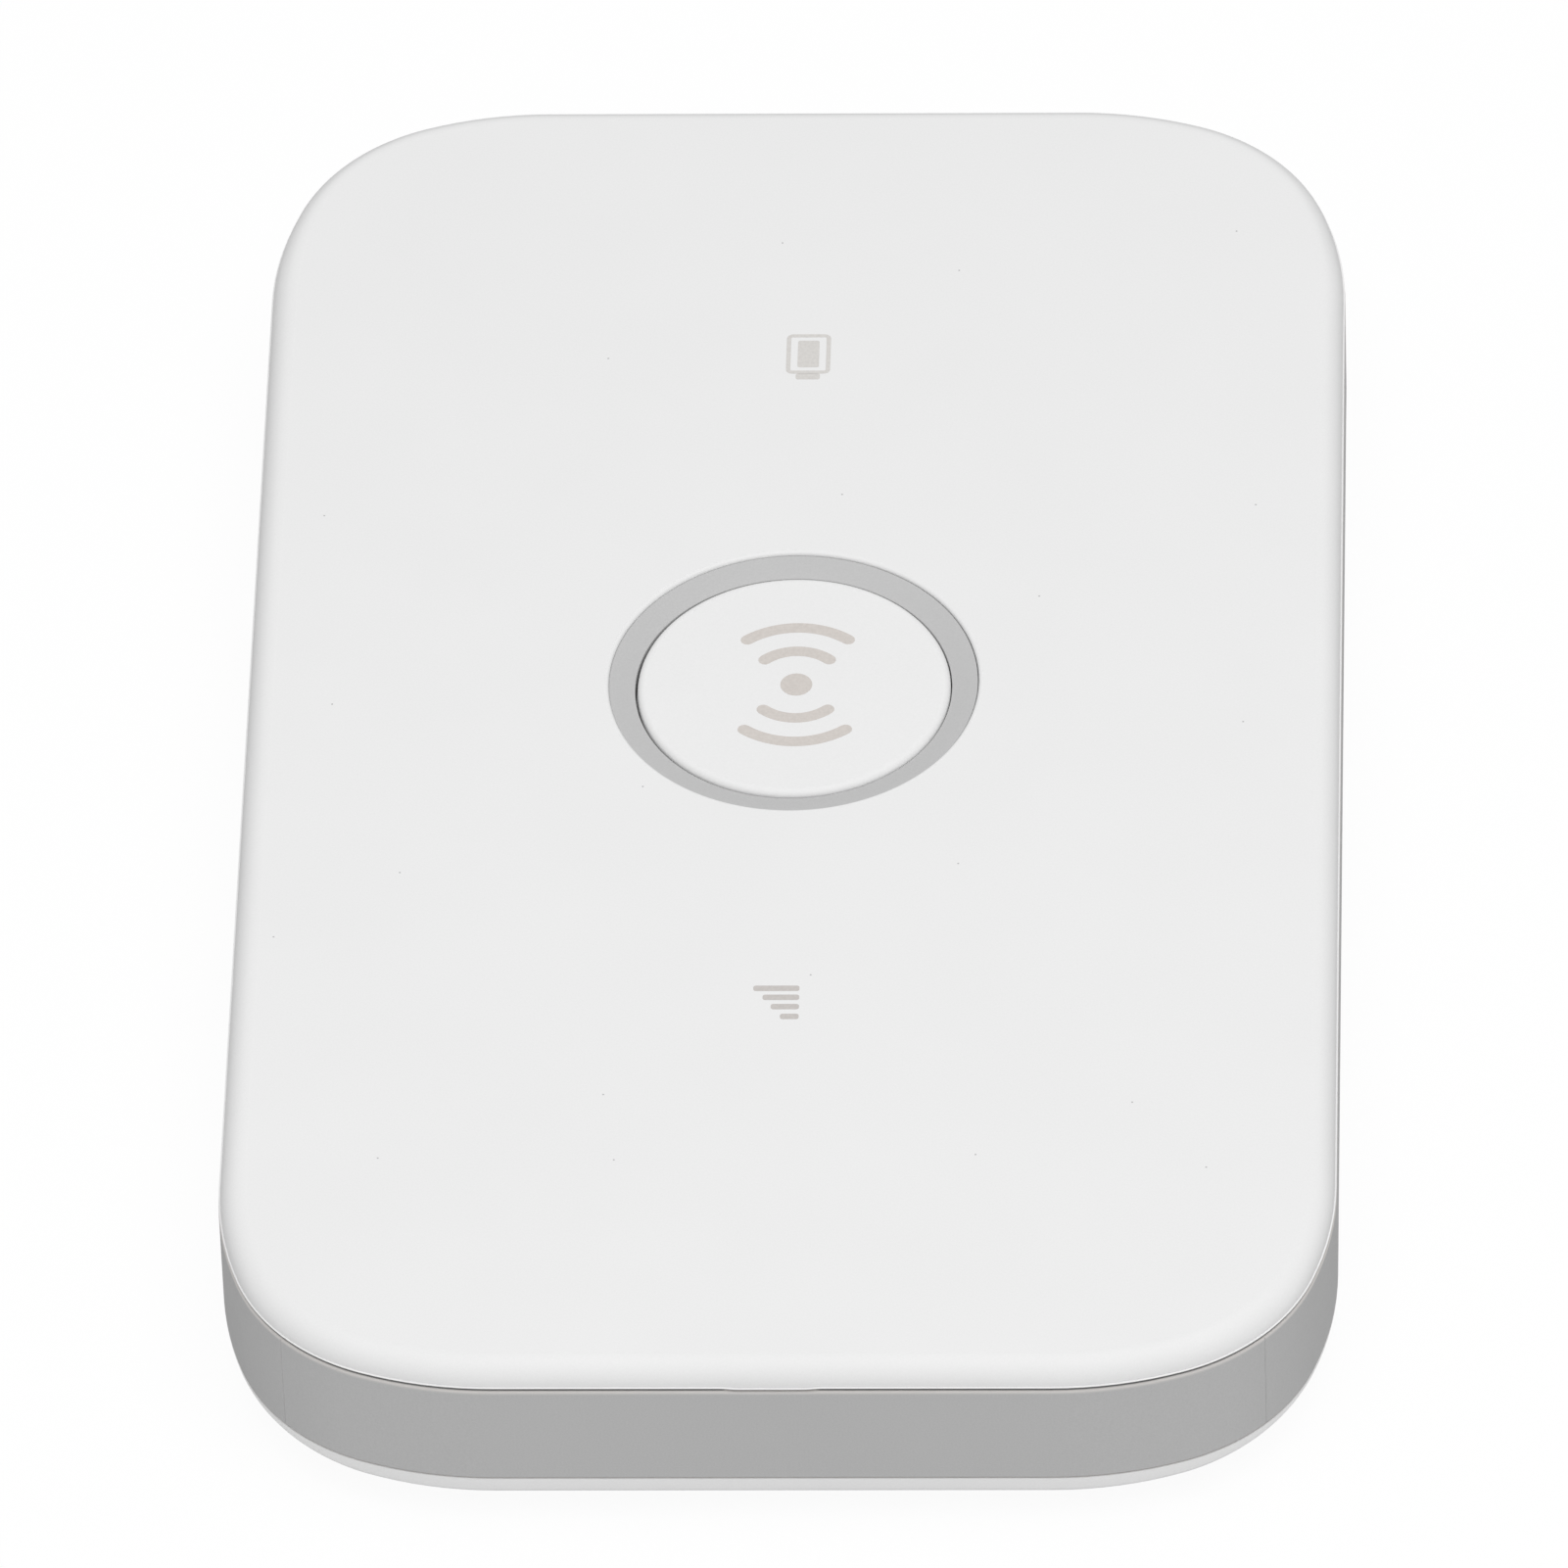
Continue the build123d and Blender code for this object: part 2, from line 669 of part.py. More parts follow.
usb_wall = 0.30
usb_low_width = 5.60
usb_slope_height = 1.00
usb_wing_width = 1.20
usb_wing_length = 2.40
usb_wing_thickness = 0.20
usb_bottom = port_z - usb_height / 2
usb_top = port_z + usb_height / 2
tongue_width = 4.00
tongue_thickness = 0.60
tongue_length = 3.40
usb_contact_count = 5
usb_contact_pitch = 0.65
usb_contact_width = 0.35
usb_contact_thickness = 0.12
usb_base_length = 1.20


def usb_outline(inset):
    """Return the half-trapezoid section of the charging socket, moved in by inset."""
    with BuildSketch(Plane.XZ.offset(-usb_front)) as section:
        with BuildLine():
            Polyline(
                (-usb_width / 2, usb_top),
                (-usb_width / 2, usb_bottom + usb_slope_height),
                (-usb_low_width / 2, usb_bottom),
                (usb_low_width / 2, usb_bottom),
                (usb_width / 2, usb_bottom + usb_slope_height),
                (usb_width / 2, usb_top),
                close=True,
            )
        make_face()
        if inset:
            offset(amount=-inset, mode=Mode.REPLACE)
    return section.sketch


usb_outer = usb_outline(0)
usb_cavity = usb_outline(usb_wall)

with BuildPart() as usb_socket_shell:
    extrude(usb_outer, amount=usb_length)
    extrude(usb_cavity, amount=usb_length, mode=Mode.SUBTRACT)
    # Wings soldered to the board on each side of its notch.
    with BuildSketch(Plane.XY.offset(board_top)):
        with Locations((0, usb_back + usb_length / 2)):
            with GridLocations(usb_width + usb_wing_width, 0, 2, 1):
                Rectangle(usb_wing_width, usb_wing_length)
    extrude(amount=usb_wing_thickness)
usb_socket_shell.part.label = "usb_socket_shell"
export_step(usb_socket_shell.part, "parts/usb_socket_shell.step")

with BuildPart() as usb_socket_insert:
    with BuildSketch(Plane.XZ.offset(-usb_back)):
        with Locations((0, port_z + usb_wall / 2)):
            Rectangle(usb_low_width - 4 * usb_wall, usb_height - 4 * usb_wall)
    extrude(amount=-usb_base_length)
    with BuildSketch(Plane.XZ.offset(-usb_back - usb_base_length)):
        with Locations((0, port_z + tongue_thickness / 2)):
            Rectangle(tongue_width, tongue_thickness)
    extrude(amount=-tongue_length)
usb_socket_insert.part.label = "usb_socket_insert"
export_step(usb_socket_insert.part, "parts/usb_socket_insert.step")

with BuildPart() as usb_contacts:
    with BuildSketch(Plane.XZ.offset(-usb_back - usb_base_length)):
        with Locations((0, port_z - usb_contact_thickness / 2)):
            with GridLocations(usb_contact_pitch, 0, usb_contact_count, 1):
                Rectangle(usb_contact_width, usb_contact_thickness)
    extrude(amount=-tongue_length + usb_wall)
usb_contacts.part.label = "usb_contacts"
export_step(usb_contacts.part, "parts/usb_contacts.step")

# ---- Card socket -------------------------------------------------------------------------------

sim_wall = 0.15
sim_base_low = 5.60
sim_front = deck_y_low + running_gap
sim_middle = sim_front + sim_length / 2
sim_contact_width = 1.60
sim_contact_length = 4.00
sim_contact_thickness = 0.12
sim_contact_drop = 0.30
sim_column_pitch = 7.62
sim_row_pitch = 2.54

with BuildPart() as sim_socket_frame:
    with BuildSketch(Plane.XZ.offset(-sim_front)):
        with Locations((sim_x, (sim_low + board_low) / 2)):
            Rectangle(sim_width, board_low - sim_low)
        with Locations((sim_x, (sim_low + sim_wall + board_low) / 2)):
            Rectangle(sim_width - 2 * sim_wall, board_low - sim_low - sim_wall, mode=Mode.SUBTRACT)
    extrude(amount=-sim_length)
    with BuildSketch(Plane.XZ.offset(-sim_front - sim_length + sim_wall)):
        with Locations((sim_x, (sim_low + board_low) / 2)):
            Rectangle(sim_width, board_low - sim_low)
    extrude(amount=-sim_wall)
sim_socket_frame.part.label = "sim_socket_frame"
export_step(sim_socket_frame.part, "parts/sim_socket_frame.step")

with BuildPart() as sim_socket_base:
    with BuildSketch(Plane.XY.offset(sim_base_low)):
        with Locations((sim_x, sim_middle - sim_wall / 2)):
            Rectangle(sim_width - 2 * sim_wall, sim_length - sim_wall)
    extrude(amount=board_low - sim_base_low)
sim_socket_base.part.label = "sim_socket_base"
export_step(sim_socket_base.part, "parts/sim_socket_base.step")

with BuildPart() as sim_contacts:
    with BuildSketch(Plane.XY.offset(sim_base_low)):
        with Locations((sim_x, sim_middle)):
            with GridLocations(sim_column_pitch, sim_row_pitch, 2, 3):
                Rectangle(sim_contact_length, sim_contact_width)
    extrude(amount=-sim_contact_thickness)
    with BuildSketch(Plane.XY.offset(sim_base_low - sim_contact_thickness)):
        with Locations((sim_x, sim_middle)):
            with GridLocations(sim_column_pitch, sim_row_pitch, 2, 3):
                Rectangle(sim_contact_length / 4, sim_contact_width / 2)
    extrude(amount=-sim_contact_drop)
sim_contacts.part.label = "sim_contacts"
export_step(sim_contacts.part, "parts/sim_contacts.step")

# ---- Status lights -----------------------------------------------------------------------------

led_width = 0.80
led_length = 1.60
led_height = 0.60
guide_low = 7.90
guide_gap = 0.03
lights = [("battery", battery_icon_y), ("signal", signal_icon_y)]
for light_name, light_y in lights:
    with BuildPart() as led:
        with BuildSketch(Plane.XY.offset(board_top)):
            with Locations((0, light_y)):
                Rectangle(led_width, led_length)
        extrude(amount=led_height)
    led.part.label = f"{light_name}_led"
    export_step(led.part, f"parts/{light_name}_led.step")
    with BuildPart() as light_guide:
        with BuildSketch(Plane.XY.offset(guide_low)):
            with Locations((0, light_y)):
                RectangleRounded(
                    guide_width - 2 * guide_gap, guide_length - 2 * guide_gap, guide_corner
                )
        extrude(amount=guide_top - guide_low)
    light_guide.part.label = f"{light_name}_light_guide"
    export_step(light_guide.part, f"parts/{light_name}_light_guide.step")

# ---- Antennas ----------------------------------------------------------------------------------

antenna_thickness = 0.15
slot_width = 0.80
# Each row is name, centre, width, length, and the place of its feed clip.
antennas = [
    ("main_antenna", (0.0, -43.3), 22.0, 4.6, (-8.0, -43.3)),
    ("diversity_antenna", (0.0, 43.4), 32.0, 4.0, (12.0, 43.4)),
    ("wireless_lan_antenna", (23.6, -8.0), 4.0, 26.0, (23.6, -16.0)),
]
for antenna_name, antenna_centre, antenna_width, antenna_length, feed in antennas:
    with BuildPart() as antenna:
        with BuildSketch(Plane.XY.offset(shell_inner)):
            with Locations(antenna_centre):
                Rectangle(antenna_width, antenna_length)
                if antenna_width > antenna_length:
                    Rectangle(antenna_width - 4 * slot_width, slot_width, mode=Mode.SUBTRACT)
                else:
                    Rectangle(slot_width, antenna_length - 4 * slot_width, mode=Mode.SUBTRACT)
        extrude(amount=-antenna_thickness)
    antenna.part.label = antenna_name
    export_step(antenna.part, f"parts/{antenna_name}.step")

clip_width = 1.20
clip_reach = 1.60
clip_thickness = 0.15
clip_low = board_top + clip_thickness / 2
clip_top = shell_inner - antenna_thickness - clip_thickness / 2

with BuildPart() as antenna_clips:
    for *_, (feed_x, feed_y) in antennas:
        with BuildSketch(Plane.YZ.offset(feed_x)):
            with BuildLine():
                FilletPolyline(
                    (feed_y - clip_reach / 2, clip_low),
                    (feed_y + clip_reach / 2, clip_low),
                    (feed_y - clip_reach / 2, clip_top),
                    (feed_y + clip_reach / 2, clip_top),
                    radius=clip_reach / 8,
                )
            trace(line_width=clip_thickness)
        extrude(amount=clip_width / 2, both=True)
antenna_clips.part.label = "antenna_clips"
export_step(antenna_clips.part, "parts/antenna_clips.step")

# ---- Case screws -------------------------------------------------------------------------------

screw_head_radius = 1.30
screw_head_height = 0.90
recess_width = 0.30
recess_length = 1.30
recess_depth = 0.50

with BuildPart() as case_screws:
    with BuildSketch(Plane.XY.offset(screw_seat)):
        with Locations(*screw_places):
            Circle(screw_head_radius)
    extrude(amount=-screw_head_height)
    with BuildSketch(Plane.XY.offset(screw_seat)):
        with Locations(*screw_places):
            Circle(screw_radius)
    extrude(amount=screw_tip - screw_seat)
    with BuildSketch(Plane.XY.offset(screw_seat - screw_head_height)):
        with Locations(*screw_places):
            Rectangle(recess_length, recess_width)
            Rectangle(recess_width, recess_length)
    extrude(amount=recess_depth, mode=Mode.SUBTRACT)
case_screws.part.label = "case_screws"
export_step(case_screws.part, "parts/case_screws.step")
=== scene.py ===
import bpy
import bmesh
import math
from collections import namedtuple
from mathutils import Matrix, Vector


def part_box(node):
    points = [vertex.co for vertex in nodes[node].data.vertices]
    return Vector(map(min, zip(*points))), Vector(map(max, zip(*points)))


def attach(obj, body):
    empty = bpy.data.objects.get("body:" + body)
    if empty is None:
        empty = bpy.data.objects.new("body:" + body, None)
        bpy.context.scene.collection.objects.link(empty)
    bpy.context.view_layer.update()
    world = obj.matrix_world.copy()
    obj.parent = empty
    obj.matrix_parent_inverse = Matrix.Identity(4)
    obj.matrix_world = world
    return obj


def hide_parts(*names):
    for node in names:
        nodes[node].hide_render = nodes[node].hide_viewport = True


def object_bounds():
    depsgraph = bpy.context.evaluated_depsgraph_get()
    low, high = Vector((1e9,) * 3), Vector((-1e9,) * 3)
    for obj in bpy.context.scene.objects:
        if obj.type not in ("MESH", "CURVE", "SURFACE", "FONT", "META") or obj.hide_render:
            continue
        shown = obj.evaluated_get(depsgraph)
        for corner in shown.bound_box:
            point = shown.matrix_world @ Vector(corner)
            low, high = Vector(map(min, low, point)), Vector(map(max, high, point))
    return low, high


# Looks of a pocket mobile hotspot: white satin shells, a silver-grey band and ring, printed
# status marks, and the parts inside. Meshes are worked out in millimetres in the frame of the
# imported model: +Z is up through the top face and +Y is the end with the charging socket.

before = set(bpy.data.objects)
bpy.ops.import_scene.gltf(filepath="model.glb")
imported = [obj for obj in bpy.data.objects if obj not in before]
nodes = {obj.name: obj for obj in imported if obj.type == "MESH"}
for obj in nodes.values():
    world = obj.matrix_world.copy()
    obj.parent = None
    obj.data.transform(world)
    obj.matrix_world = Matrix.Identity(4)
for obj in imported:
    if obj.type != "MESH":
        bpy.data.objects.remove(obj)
cad_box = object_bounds()

MM = 0.001


def box_mm(node):
    """Return the lowest and highest corner of a CAD node in millimetres."""
    return [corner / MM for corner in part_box(node)]


# ---- Sizes in millimetres --------------------------------------------------------------------

band_box = box_mm("side_band")
shell_box = box_mm("top_shell")
button_box = box_mm("power_button")

HALF_WIDTH = band_box[1].x
HALF_LENGTH = band_box[1].y
TOP = shell_box[1].z
COVER_TOP = band_box[0].z
SHELL_LOW = band_box[1].z
GROOVE_HEIGHT = 0.10
GROOVE_DEPTH = 0.40
BAND_TOP = SHELL_LOW - GROOVE_HEIGHT
BAND_WALL = 1.10
BAND_EDGE = 0.15
SEAM_OPEN = 0.05  # the band's upper edge stands this far below the groove
SHELL_INSET = 0.10
SHELL_EDGE = 1.30
SHELL_LOW_EDGE = 0.06
BEAD_INSET = 0.02  # a fine bead runs along the shell's lower edge
BEAD_EDGE = 0.02  # rounding on top of that bead
EDGE_STEPS = 6  # flat steps of a small rounding
SHELL_INNER = 9.80
SKIRT_LOW = shell_box[0].z
SKIRT_OUTER = 1.15
SKIRT_INNER = 1.95

CORNER_END_RADIUS = 20.0
CORNER_MID_RADIUS = 11.0
CORNER_END_TURN = math.radians(20)

BUTTON_Y = (button_box[0].y + button_box[1].y) / 2
BUTTON_TOP = button_box[1].z
BUTTON_RADIUS = 8.31
BEZEL_RADIUS = 9.80
BATTERY_ICON_Y = 28.2
SIGNAL_ICON_Y = -21.3

# ---- Outline of the casing -------------------------------------------------------------------

STRAIGHT_STEP = 1.20
FINE_STEP = 0.15
FINE_HALF = 3.0  # half of the finely divided stretch at the middle of each end
ARC_STEP = math.radians(2.5)
TOLERANCE = 1e-6  # keeps a whole number of steps from being rounded up
MOULD_LINE_ANGLE = math.radians(44)
# Places along the outline, and how deep the mould line is there.
MOULD_LINE = [(-0.12, 0.0), (-0.06, 0.0), (0.0, 0.045), (0.06, -0.010), (0.12, 0.0)]
NIB_HALF = 2.60
NIB_RAMP = 0.9
NIB_DROP = 0.07

Column = namedtuple("Column", "x y nx ny line")


def steps(start, end, step):
    """Return evenly spaced values from start up to, and without, end."""
    count = max(1, math.ceil(abs(end - start) / step - TOLERANCE))
    return [start + (end - start) * k / count for k in range(count)]


def quarter_outline():
    """Return (x, y, heading, mould line depth) from the middle of the +X side to the +Y end."""
    turn = CORNER_END_TURN
    span = CORNER_END_RADIUS * (math.sin(turn) + 1 - math.cos(turn))
    span += CORNER_MID_RADIUS * (math.cos(turn) - math.sin(turn))
    places = [(HALF_WIDTH, y, 0.0, 0.0) for y in steps(0, HALF_LENGTH - span, STRAIGHT_STEP)]
    x, y, heading = HALF_WIDTH, HALF_LENGTH - span, 0.0
    for radius, sweep in (
        (CORNER_END_RADIUS, turn),
        (CORNER_MID_RADIUS, math.pi / 2 - 2 * turn),
        (CORNER_END_RADIUS, turn),
    ):
        centre_x = x - radius * math.cos(heading)
        centre_y = y - radius * math.sin(heading)
        angles = [(angle, 0.0) for angle in steps(heading, heading + sweep, ARC_STEP)]
        if radius == CORNER_MID_RADIUS:
            near = MOULD_LINE[-1][0] / radius
            angles = [(a, d) for a, d in angles if abs(a - MOULD_LINE_ANGLE) > near]
            angles += [(MOULD_LINE_ANGLE + side / radius, depth) for side, depth in MOULD_LINE]
        for angle, depth in sorted(angles):
            place_x = centre_x + radius * math.cos(angle)
            places.append((place_x, centre_y + radius * math.sin(angle), angle, depth))
        heading += sweep
        x = centre_x + radius * math.cos(heading)
        y = centre_y + radius * math.sin(heading)
    ends = steps(x, FINE_HALF, STRAIGHT_STEP) + steps(FINE_HALF, 0, FINE_STEP) + [0.0]
    return places + [(end_x, HALF_LENGTH, math.pi / 2, 0.0) for end_x in ends]


def whole_outline():
    """Return the columns round the casing, from the middle of the +X side towards +Y."""
    columns = []
    for quarter, (sign_x, sign_y) in enumerate([(1, 1), (-1, 1), (-1, -1), (1, -1)]):
        places = quarter_outline()
        if quarter % 2:
            places.reverse()
        # Each quarter's last place is the next one's first.
        for x, y, heading, depth in places[:-1]:
            line = depth if sign_y < 0 else 0.0
            nx, ny = sign_x * math.cos(heading), sign_y * math.sin(heading)
            columns.append(Column(sign_x * x, sign_y * y, nx, ny, line))
    return columns


OUTLINE = whole_outline()


def ease(value):
    """Return value held between 0 and 1, with a smooth start and end."""
    held = min(1.0, max(0.0, value))
    return held * held * (3 - 2 * held)


def nib_dip(column):
    """Return how far the seam under the top shell dips at the middle of the near end."""
    if column.y > 0 or abs(column.x) > NIB_HALF:
        return 0.0
    return NIB_DROP * ease((NIB_HALF - abs(column.x)) / NIB_RAMP)


def at(column, inset, z):
    """Return the point that far inside the outline at that height."""
    return Vector((column.x - column.nx * inset, column.y - column.ny * inset, z))


def on_circle(column, radius, z):
    """Return the point of a circle about the button's axis that faces the column."""
    away = Vector((column.x, column.y - BUTTON_Y, 0)).normalized() * radius
    return Vector((away.x, away.y + BUTTON_Y, z))


def arc(centre, radius, start, end, count):
    """Return the points of an arc as pairs, with angles in degrees."""
    angles = [math.radians(start + (end - start) * k / count) for k in range(count + 1)]
    return [(centre[0] + radius * math.cos(a), centre[1] + radius * math.sin(a)) for a in angles]


# ---- Mesh helpers ----------------------------------------------------------------------------


def skin(bm, strips, poles=()):
    """Join strips of points with quads, round and back to the first strip.

    Without poles each strip is a closed loop. With two poles each strip runs from one to the other.
    """
    rows = [[bm.verts.new(point * MM) for point in strip] for strip in strips]
    ends = [bm.verts.new(pole * MM) for pole in poles]
    for row, other in zip(rows, rows[1:] + rows[:1]):
        for k in range(len(row) - len(ends) // 2):
            after = (k + 1) % len(row)
            bm.faces.new((row[k], other[k], other[after], row[after]))
        if ends:
            bm.faces.new((ends[0], other[0], row[0]))
            bm.faces.new((row[-1], other[-1], ends[1]))


def revolve(bm, profile, centre, poles=(), count=160):
    """Turn a profile of (radius, height) points about an upright axis through (x, y)."""
    strips = []
    for k in range(count):
        angle = math.tau * k / count
        way = Vector((math.cos(angle), math.sin(angle), 0))
        strips.append([Vector((*centre, z)) + way * radius for radius, z in profile])
    skin(bm, strips, [Vector((*centre, z)) for z in poles])


def prism(bm, outline, low, high, axis="Z"):
    """Extrude a closed list of (u, v) points from low to high along an axis."""
    turns = {
        "Z": lambda u, v, w: Vector((u, v, w)),
        "Y": lambda u, v, w: Vector((u, w, v)),
        "X": lambda u, v, w: Vector((w, u, v)),
    }
    ends = [[bm.verts.new(turns[axis](u, v, w) * MM) for u, v in outline] for w in (low, high)]
    bm.faces.new(ends[0])
    bm.faces.new(ends[1])
    for k in range(len(outline)):
        after = (k + 1) % len(outline)
        bm.faces.new((ends[0][k], ends[0][after], ends[1][after], ends[1][k]))


def rounded_rectangle(centre, size, radius, count=6):
    """Return the outline of a rectangle with rounded corners."""
    points = []
    for sign_u, sign_v, start in ((1, 1, 0), (-1, 1, 90), (-1, -1, 180), (1, -1, 270)):
        corner = (
            centre[0] + sign_u * (size[0] / 2 - radius),
            centre[1] + sign_v * (size[1] / 2 - radius),
        )
        points += arc(corner, radius, start, start + 90, count)
    return points


def new_object(name, bm, sharp_angle=30):
    """Turn a bmesh of closed solids into an object with smooth faces and sharp corners."""
    bmesh.ops.recalc_face_normals(bm, faces=bm.faces)
    made = bpy.data.meshes.new(name)
    bm.to_mesh(made)
    bm.free()
    made.shade_smooth()
    made.set_sharp_from_angle(angle=math.radians(sharp_angle))
    thing = bpy.data.objects.new(name, made)
    bpy.context.scene.collection.objects.link(thing)
    return thing


def carve(thing, cutter_bm, sharp_angle=30):
    """Cut closed solids out of an object."""
    cutter = new_object("cutter", cutter_bm)
    cut = thing.modifiers.new("cut", "BOOLEAN")
    cut.solver = "EXACT"
    cut.object = cutter
    bpy.context.view_layer.update()
    result = thing.evaluated_get(bpy.context.evaluated_depsgraph_get())
    made = bpy.data.meshes.new_from_object(result)
    thing.modifiers.clear()
    thing.data = made
    made.name = thing.name
    made.shade_smooth()
    made.set_sharp_from_angle(angle=math.radians(sharp_angle))
    bpy.data.objects.remove(cutter)


def place_piece(thing, look, body, stands_for=()):
    """Give a piece its look and its body, and hide the CAD nodes that it stands for."""
    thing.data.materials.clear()
    thing.data.materials.append(look.material)
    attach(thing, body)
    if stands_for:
        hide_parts(*stands_for)


# ---- Material helpers ------------------------------------------------------------------------


class Look:
    """A Principled material with helpers for its procedural detail. Lengths are in metres."""

    def __init__(self, name, roughness=0.5, metallic=0.0, specular=0.5, coat=0.0):
        self.material = bpy.data.materials.new(name)
        self.material.use_nodes = True
        self.tree = self.material.node_tree
        self.shader = self.tree.nodes["Principled BSDF"]
        self.roughness = roughness
        self.shader.inputs["Roughness"].default_value = roughness
        self.shader.inputs["Metallic"].default_value = metallic
        self.shader.inputs["Specular IOR Level"].default_value = specular
        self.shader.inputs["Coat Weight"].default_value = coat
        self.place = self.tree.nodes.new("ShaderNodeTexCoord").outputs["Object"]
        self.height = None

    def feed(self, socket, value):
        """Link a node's input to a socket, or set it to a value."""
        if isinstance(value, bpy.types.NodeSocket):
            self.tree.links.new(value, socket)
        else:
            socket.default_value = value

    def node(self, kind, **inputs):
        """Add a node and feed its inputs."""
        made = self.tree.nodes.new(kind)
        for key, value in inputs.items():
            self.feed(made.inputs[key], value)
        return made

    def link(self, output, name):
        """Feed an input of the shader."""
        self.tree.links.new(output, self.shader.inputs[name])

    def paint(self, colour):
        """Give the material its base colour."""
        self.link(colour, "Base Color")

    def colour(self):
        """Return the base colour that the material has so far."""
        return self.shader.inputs["Base Color"].links[0].from_socket

    def noise(self, size, detail=2.0, stretch=(1, 1, 1)):
        """Return the value of a noise whose features are about size wide."""
        mapping = self.node("ShaderNodeMapping", Vector=self.place, Scale=stretch)
        place = mapping.outputs["Vector"]
        made = self.node("ShaderNodeTexNoise", Vector=place, Scale=1.0 / size, Detail=detail)
        return made.outputs["Fac"]

    def cells(self, size):
        """Return the distance to the nearest of scattered points that are about size apart."""
        made = self.node("ShaderNodeTexVoronoi", Vector=self.place, Scale=1.0 / size)
        return made.outputs["Distance"]

    def math(self, operation, first, second=0.0):
        """Return the result of a math node."""
        made = self.tree.nodes.new("ShaderNodeMath")
        made.operation = operation
        for socket, value in zip(made.inputs, (first, second)):
            self.feed(socket, value)
        return made.outputs[0]

    def axis(self, name):
        """Return one coordinate of the surface in the object's frame."""
        return self.node("ShaderNodeSeparateXYZ", Vector=self.place).outputs[name]

    def upness(self):
        """Return the upward part of the surface's normal."""
        shape = self.tree.nodes.new("ShaderNodeNewGeometry")
        return self.node("ShaderNodeSeparateXYZ", Vector=shape.outputs["Normal"]).outputs["Z"]

    def facing(self):
        """Return 0 where the surface faces the viewer, up to 1 where it is seen edge on."""
        return self.node("ShaderNodeLayerWeight", Blend=0.5).outputs["Facing"]

    def stripes(self, name, pitch, share):
        """Return 1 on stripes across an axis, which cover that share of each pitch."""
        part = self.math("FRACT", self.math("DIVIDE", self.axis(name), pitch))
        return self.math("LESS_THAN", part, share)

    def dots(self, pitch, radius):
        """Return 1 on round dots in a square grid in plan."""
        sides = []
        for name in "XY":
            part = self.math("FRACT", self.math("DIVIDE", self.axis(name), pitch))
            side = self.math("SUBTRACT", part, 0.5)
            sides.append(self.math("MULTIPLY", side, side))
        together = self.math("ADD", *sides)
        return self.math("LESS_THAN", together, (radius / pitch) ** 2)

    def blend(self, factor, first, second, kind="MIX"):
        """Return a colour that goes from first to second with factor."""
        mix = self.tree.nodes.new("ShaderNodeMix")
        mix.data_type = "RGBA"
        mix.blend_type = kind
        # A Mix node has its colours at inputs 6 and 7 and at output 2.
        for socket, value in ((0, factor), (6, first), (7, second)):
            self.feed(mix.inputs[socket], value)
        return mix.outputs[2]

    def ramp(self, value, start, end, low=0.0, high=1.0):
        """Return value stretched so that start becomes low and end becomes high."""
        made = self.node("ShaderNodeMapRange", Value=value)
        made.inputs["From Min"].default_value = start
        made.inputs["From Max"].default_value = end
        made.inputs["To Min"].default_value = low
        made.inputs["To Max"].default_value = high
        return made.outputs["Result"]

    def uneven_gloss(self, size, spread):
        """Let the roughness wander either side of its value."""
        wander = self.ramp(
            self.noise(size), 0.3, 0.7, self.roughness - spread, self.roughness + spread
        )
        self.link(wander, "Roughness")

    def bump(self, value, distance):
        """Add a bump of that height on top of the bumps already there."""
        made = self.node("ShaderNodeBump", Height=value, Distance=distance, Strength=1.0)
        if self.height is not None:
            self.tree.links.new(self.height, made.inputs["Normal"])
        self.height = made.outputs["Normal"]
        self.link(self.height, "Normal")


def shade(value, tint=(1.0, 1.0, 1.0)):
    """Return a colour of that brightness and tint, with full alpha."""
    return (value * tint[0], value * tint[1], value * tint[2], 1.0)


def moulded_plastic(
    name,
    value,
    tint=(1, 1, 1),
    roughness=0.54,
    specular=0.15,
    grain=0.10 * MM,
    speckle=0.014,
    relief=0.4e-6,
):
    """Moulded plastic with a fine satin grain and a slight unevenness in tone and gloss."""
    look = Look(name, roughness=roughness, specular=specular)
    cloud = look.ramp(look.noise(9 * MM, detail=3), 0.30, 0.70)
    dapple = look.ramp(look.noise(grain, detail=1), 0.25, 0.75)
    soft = look.blend(cloud, shade(value * 0.994, tint), shade(value * 1.005, tint))
    fine = look.blend(dapple, shade(1 - speckle), shade(1 + speckle))
    look.paint(look.blend(1.0, soft, fine, "MULTIPLY"))
    look.uneven_gloss(0.5 * MM, 0.04)
    look.bump(look.noise(grain), relief)
    return look


def plated_metal(name, value, tint, roughness, stretch=(1, 1, 1), grain=0.25 * MM):
    """Plated sheet metal with rolling marks, soft stains and an uneven gloss."""
    look = Look(name, roughness=roughness, metallic=1.0)
    marks = look.noise(grain, detail=4, stretch=stretch)
    stains = look.ramp(look.noise(3 * MM, detail=3), 0.35, 0.75)
    base = look.blend(stains, shade(value, tint), shade(value * 0.88, tint))
    base = look.blend(look.ramp(marks, 0.3, 0.7), base, shade(value * 1.06, tint))
    look.paint(base)
    look.uneven_gloss(0.8 * MM, 0.07)
    look.bump(marks, 0.8e-6)
    return look


def dress(look, *names):
    """Give CAD nodes a material in place of the one they were packed with."""
    for name in names:
        slots = nodes[name].data.materials
        slots.clear()
        slots.append(look.material)


# ---- Materials of the casing -----------------------------------------------------------------

WHITE = 0.845
SILVER = 0.530
# Painted highlight on the band's upper edge.
PAINTED_EDGE_HIGHLIGHT = (0.72, 0.69, 0.665, 1.0)
# Painted shade in the gap between the band and the back cover.
PAINTED_GAP_SHADE = (0.33, 0.29, 0.26, 1.0)
DUST_SPACING = 15 * MM
DUST_SIZE = 0.0036  # radius of a speck as a share of the spacing
CREST = BAND_TOP - SEAM_OPEN  # height of the band's upper edge


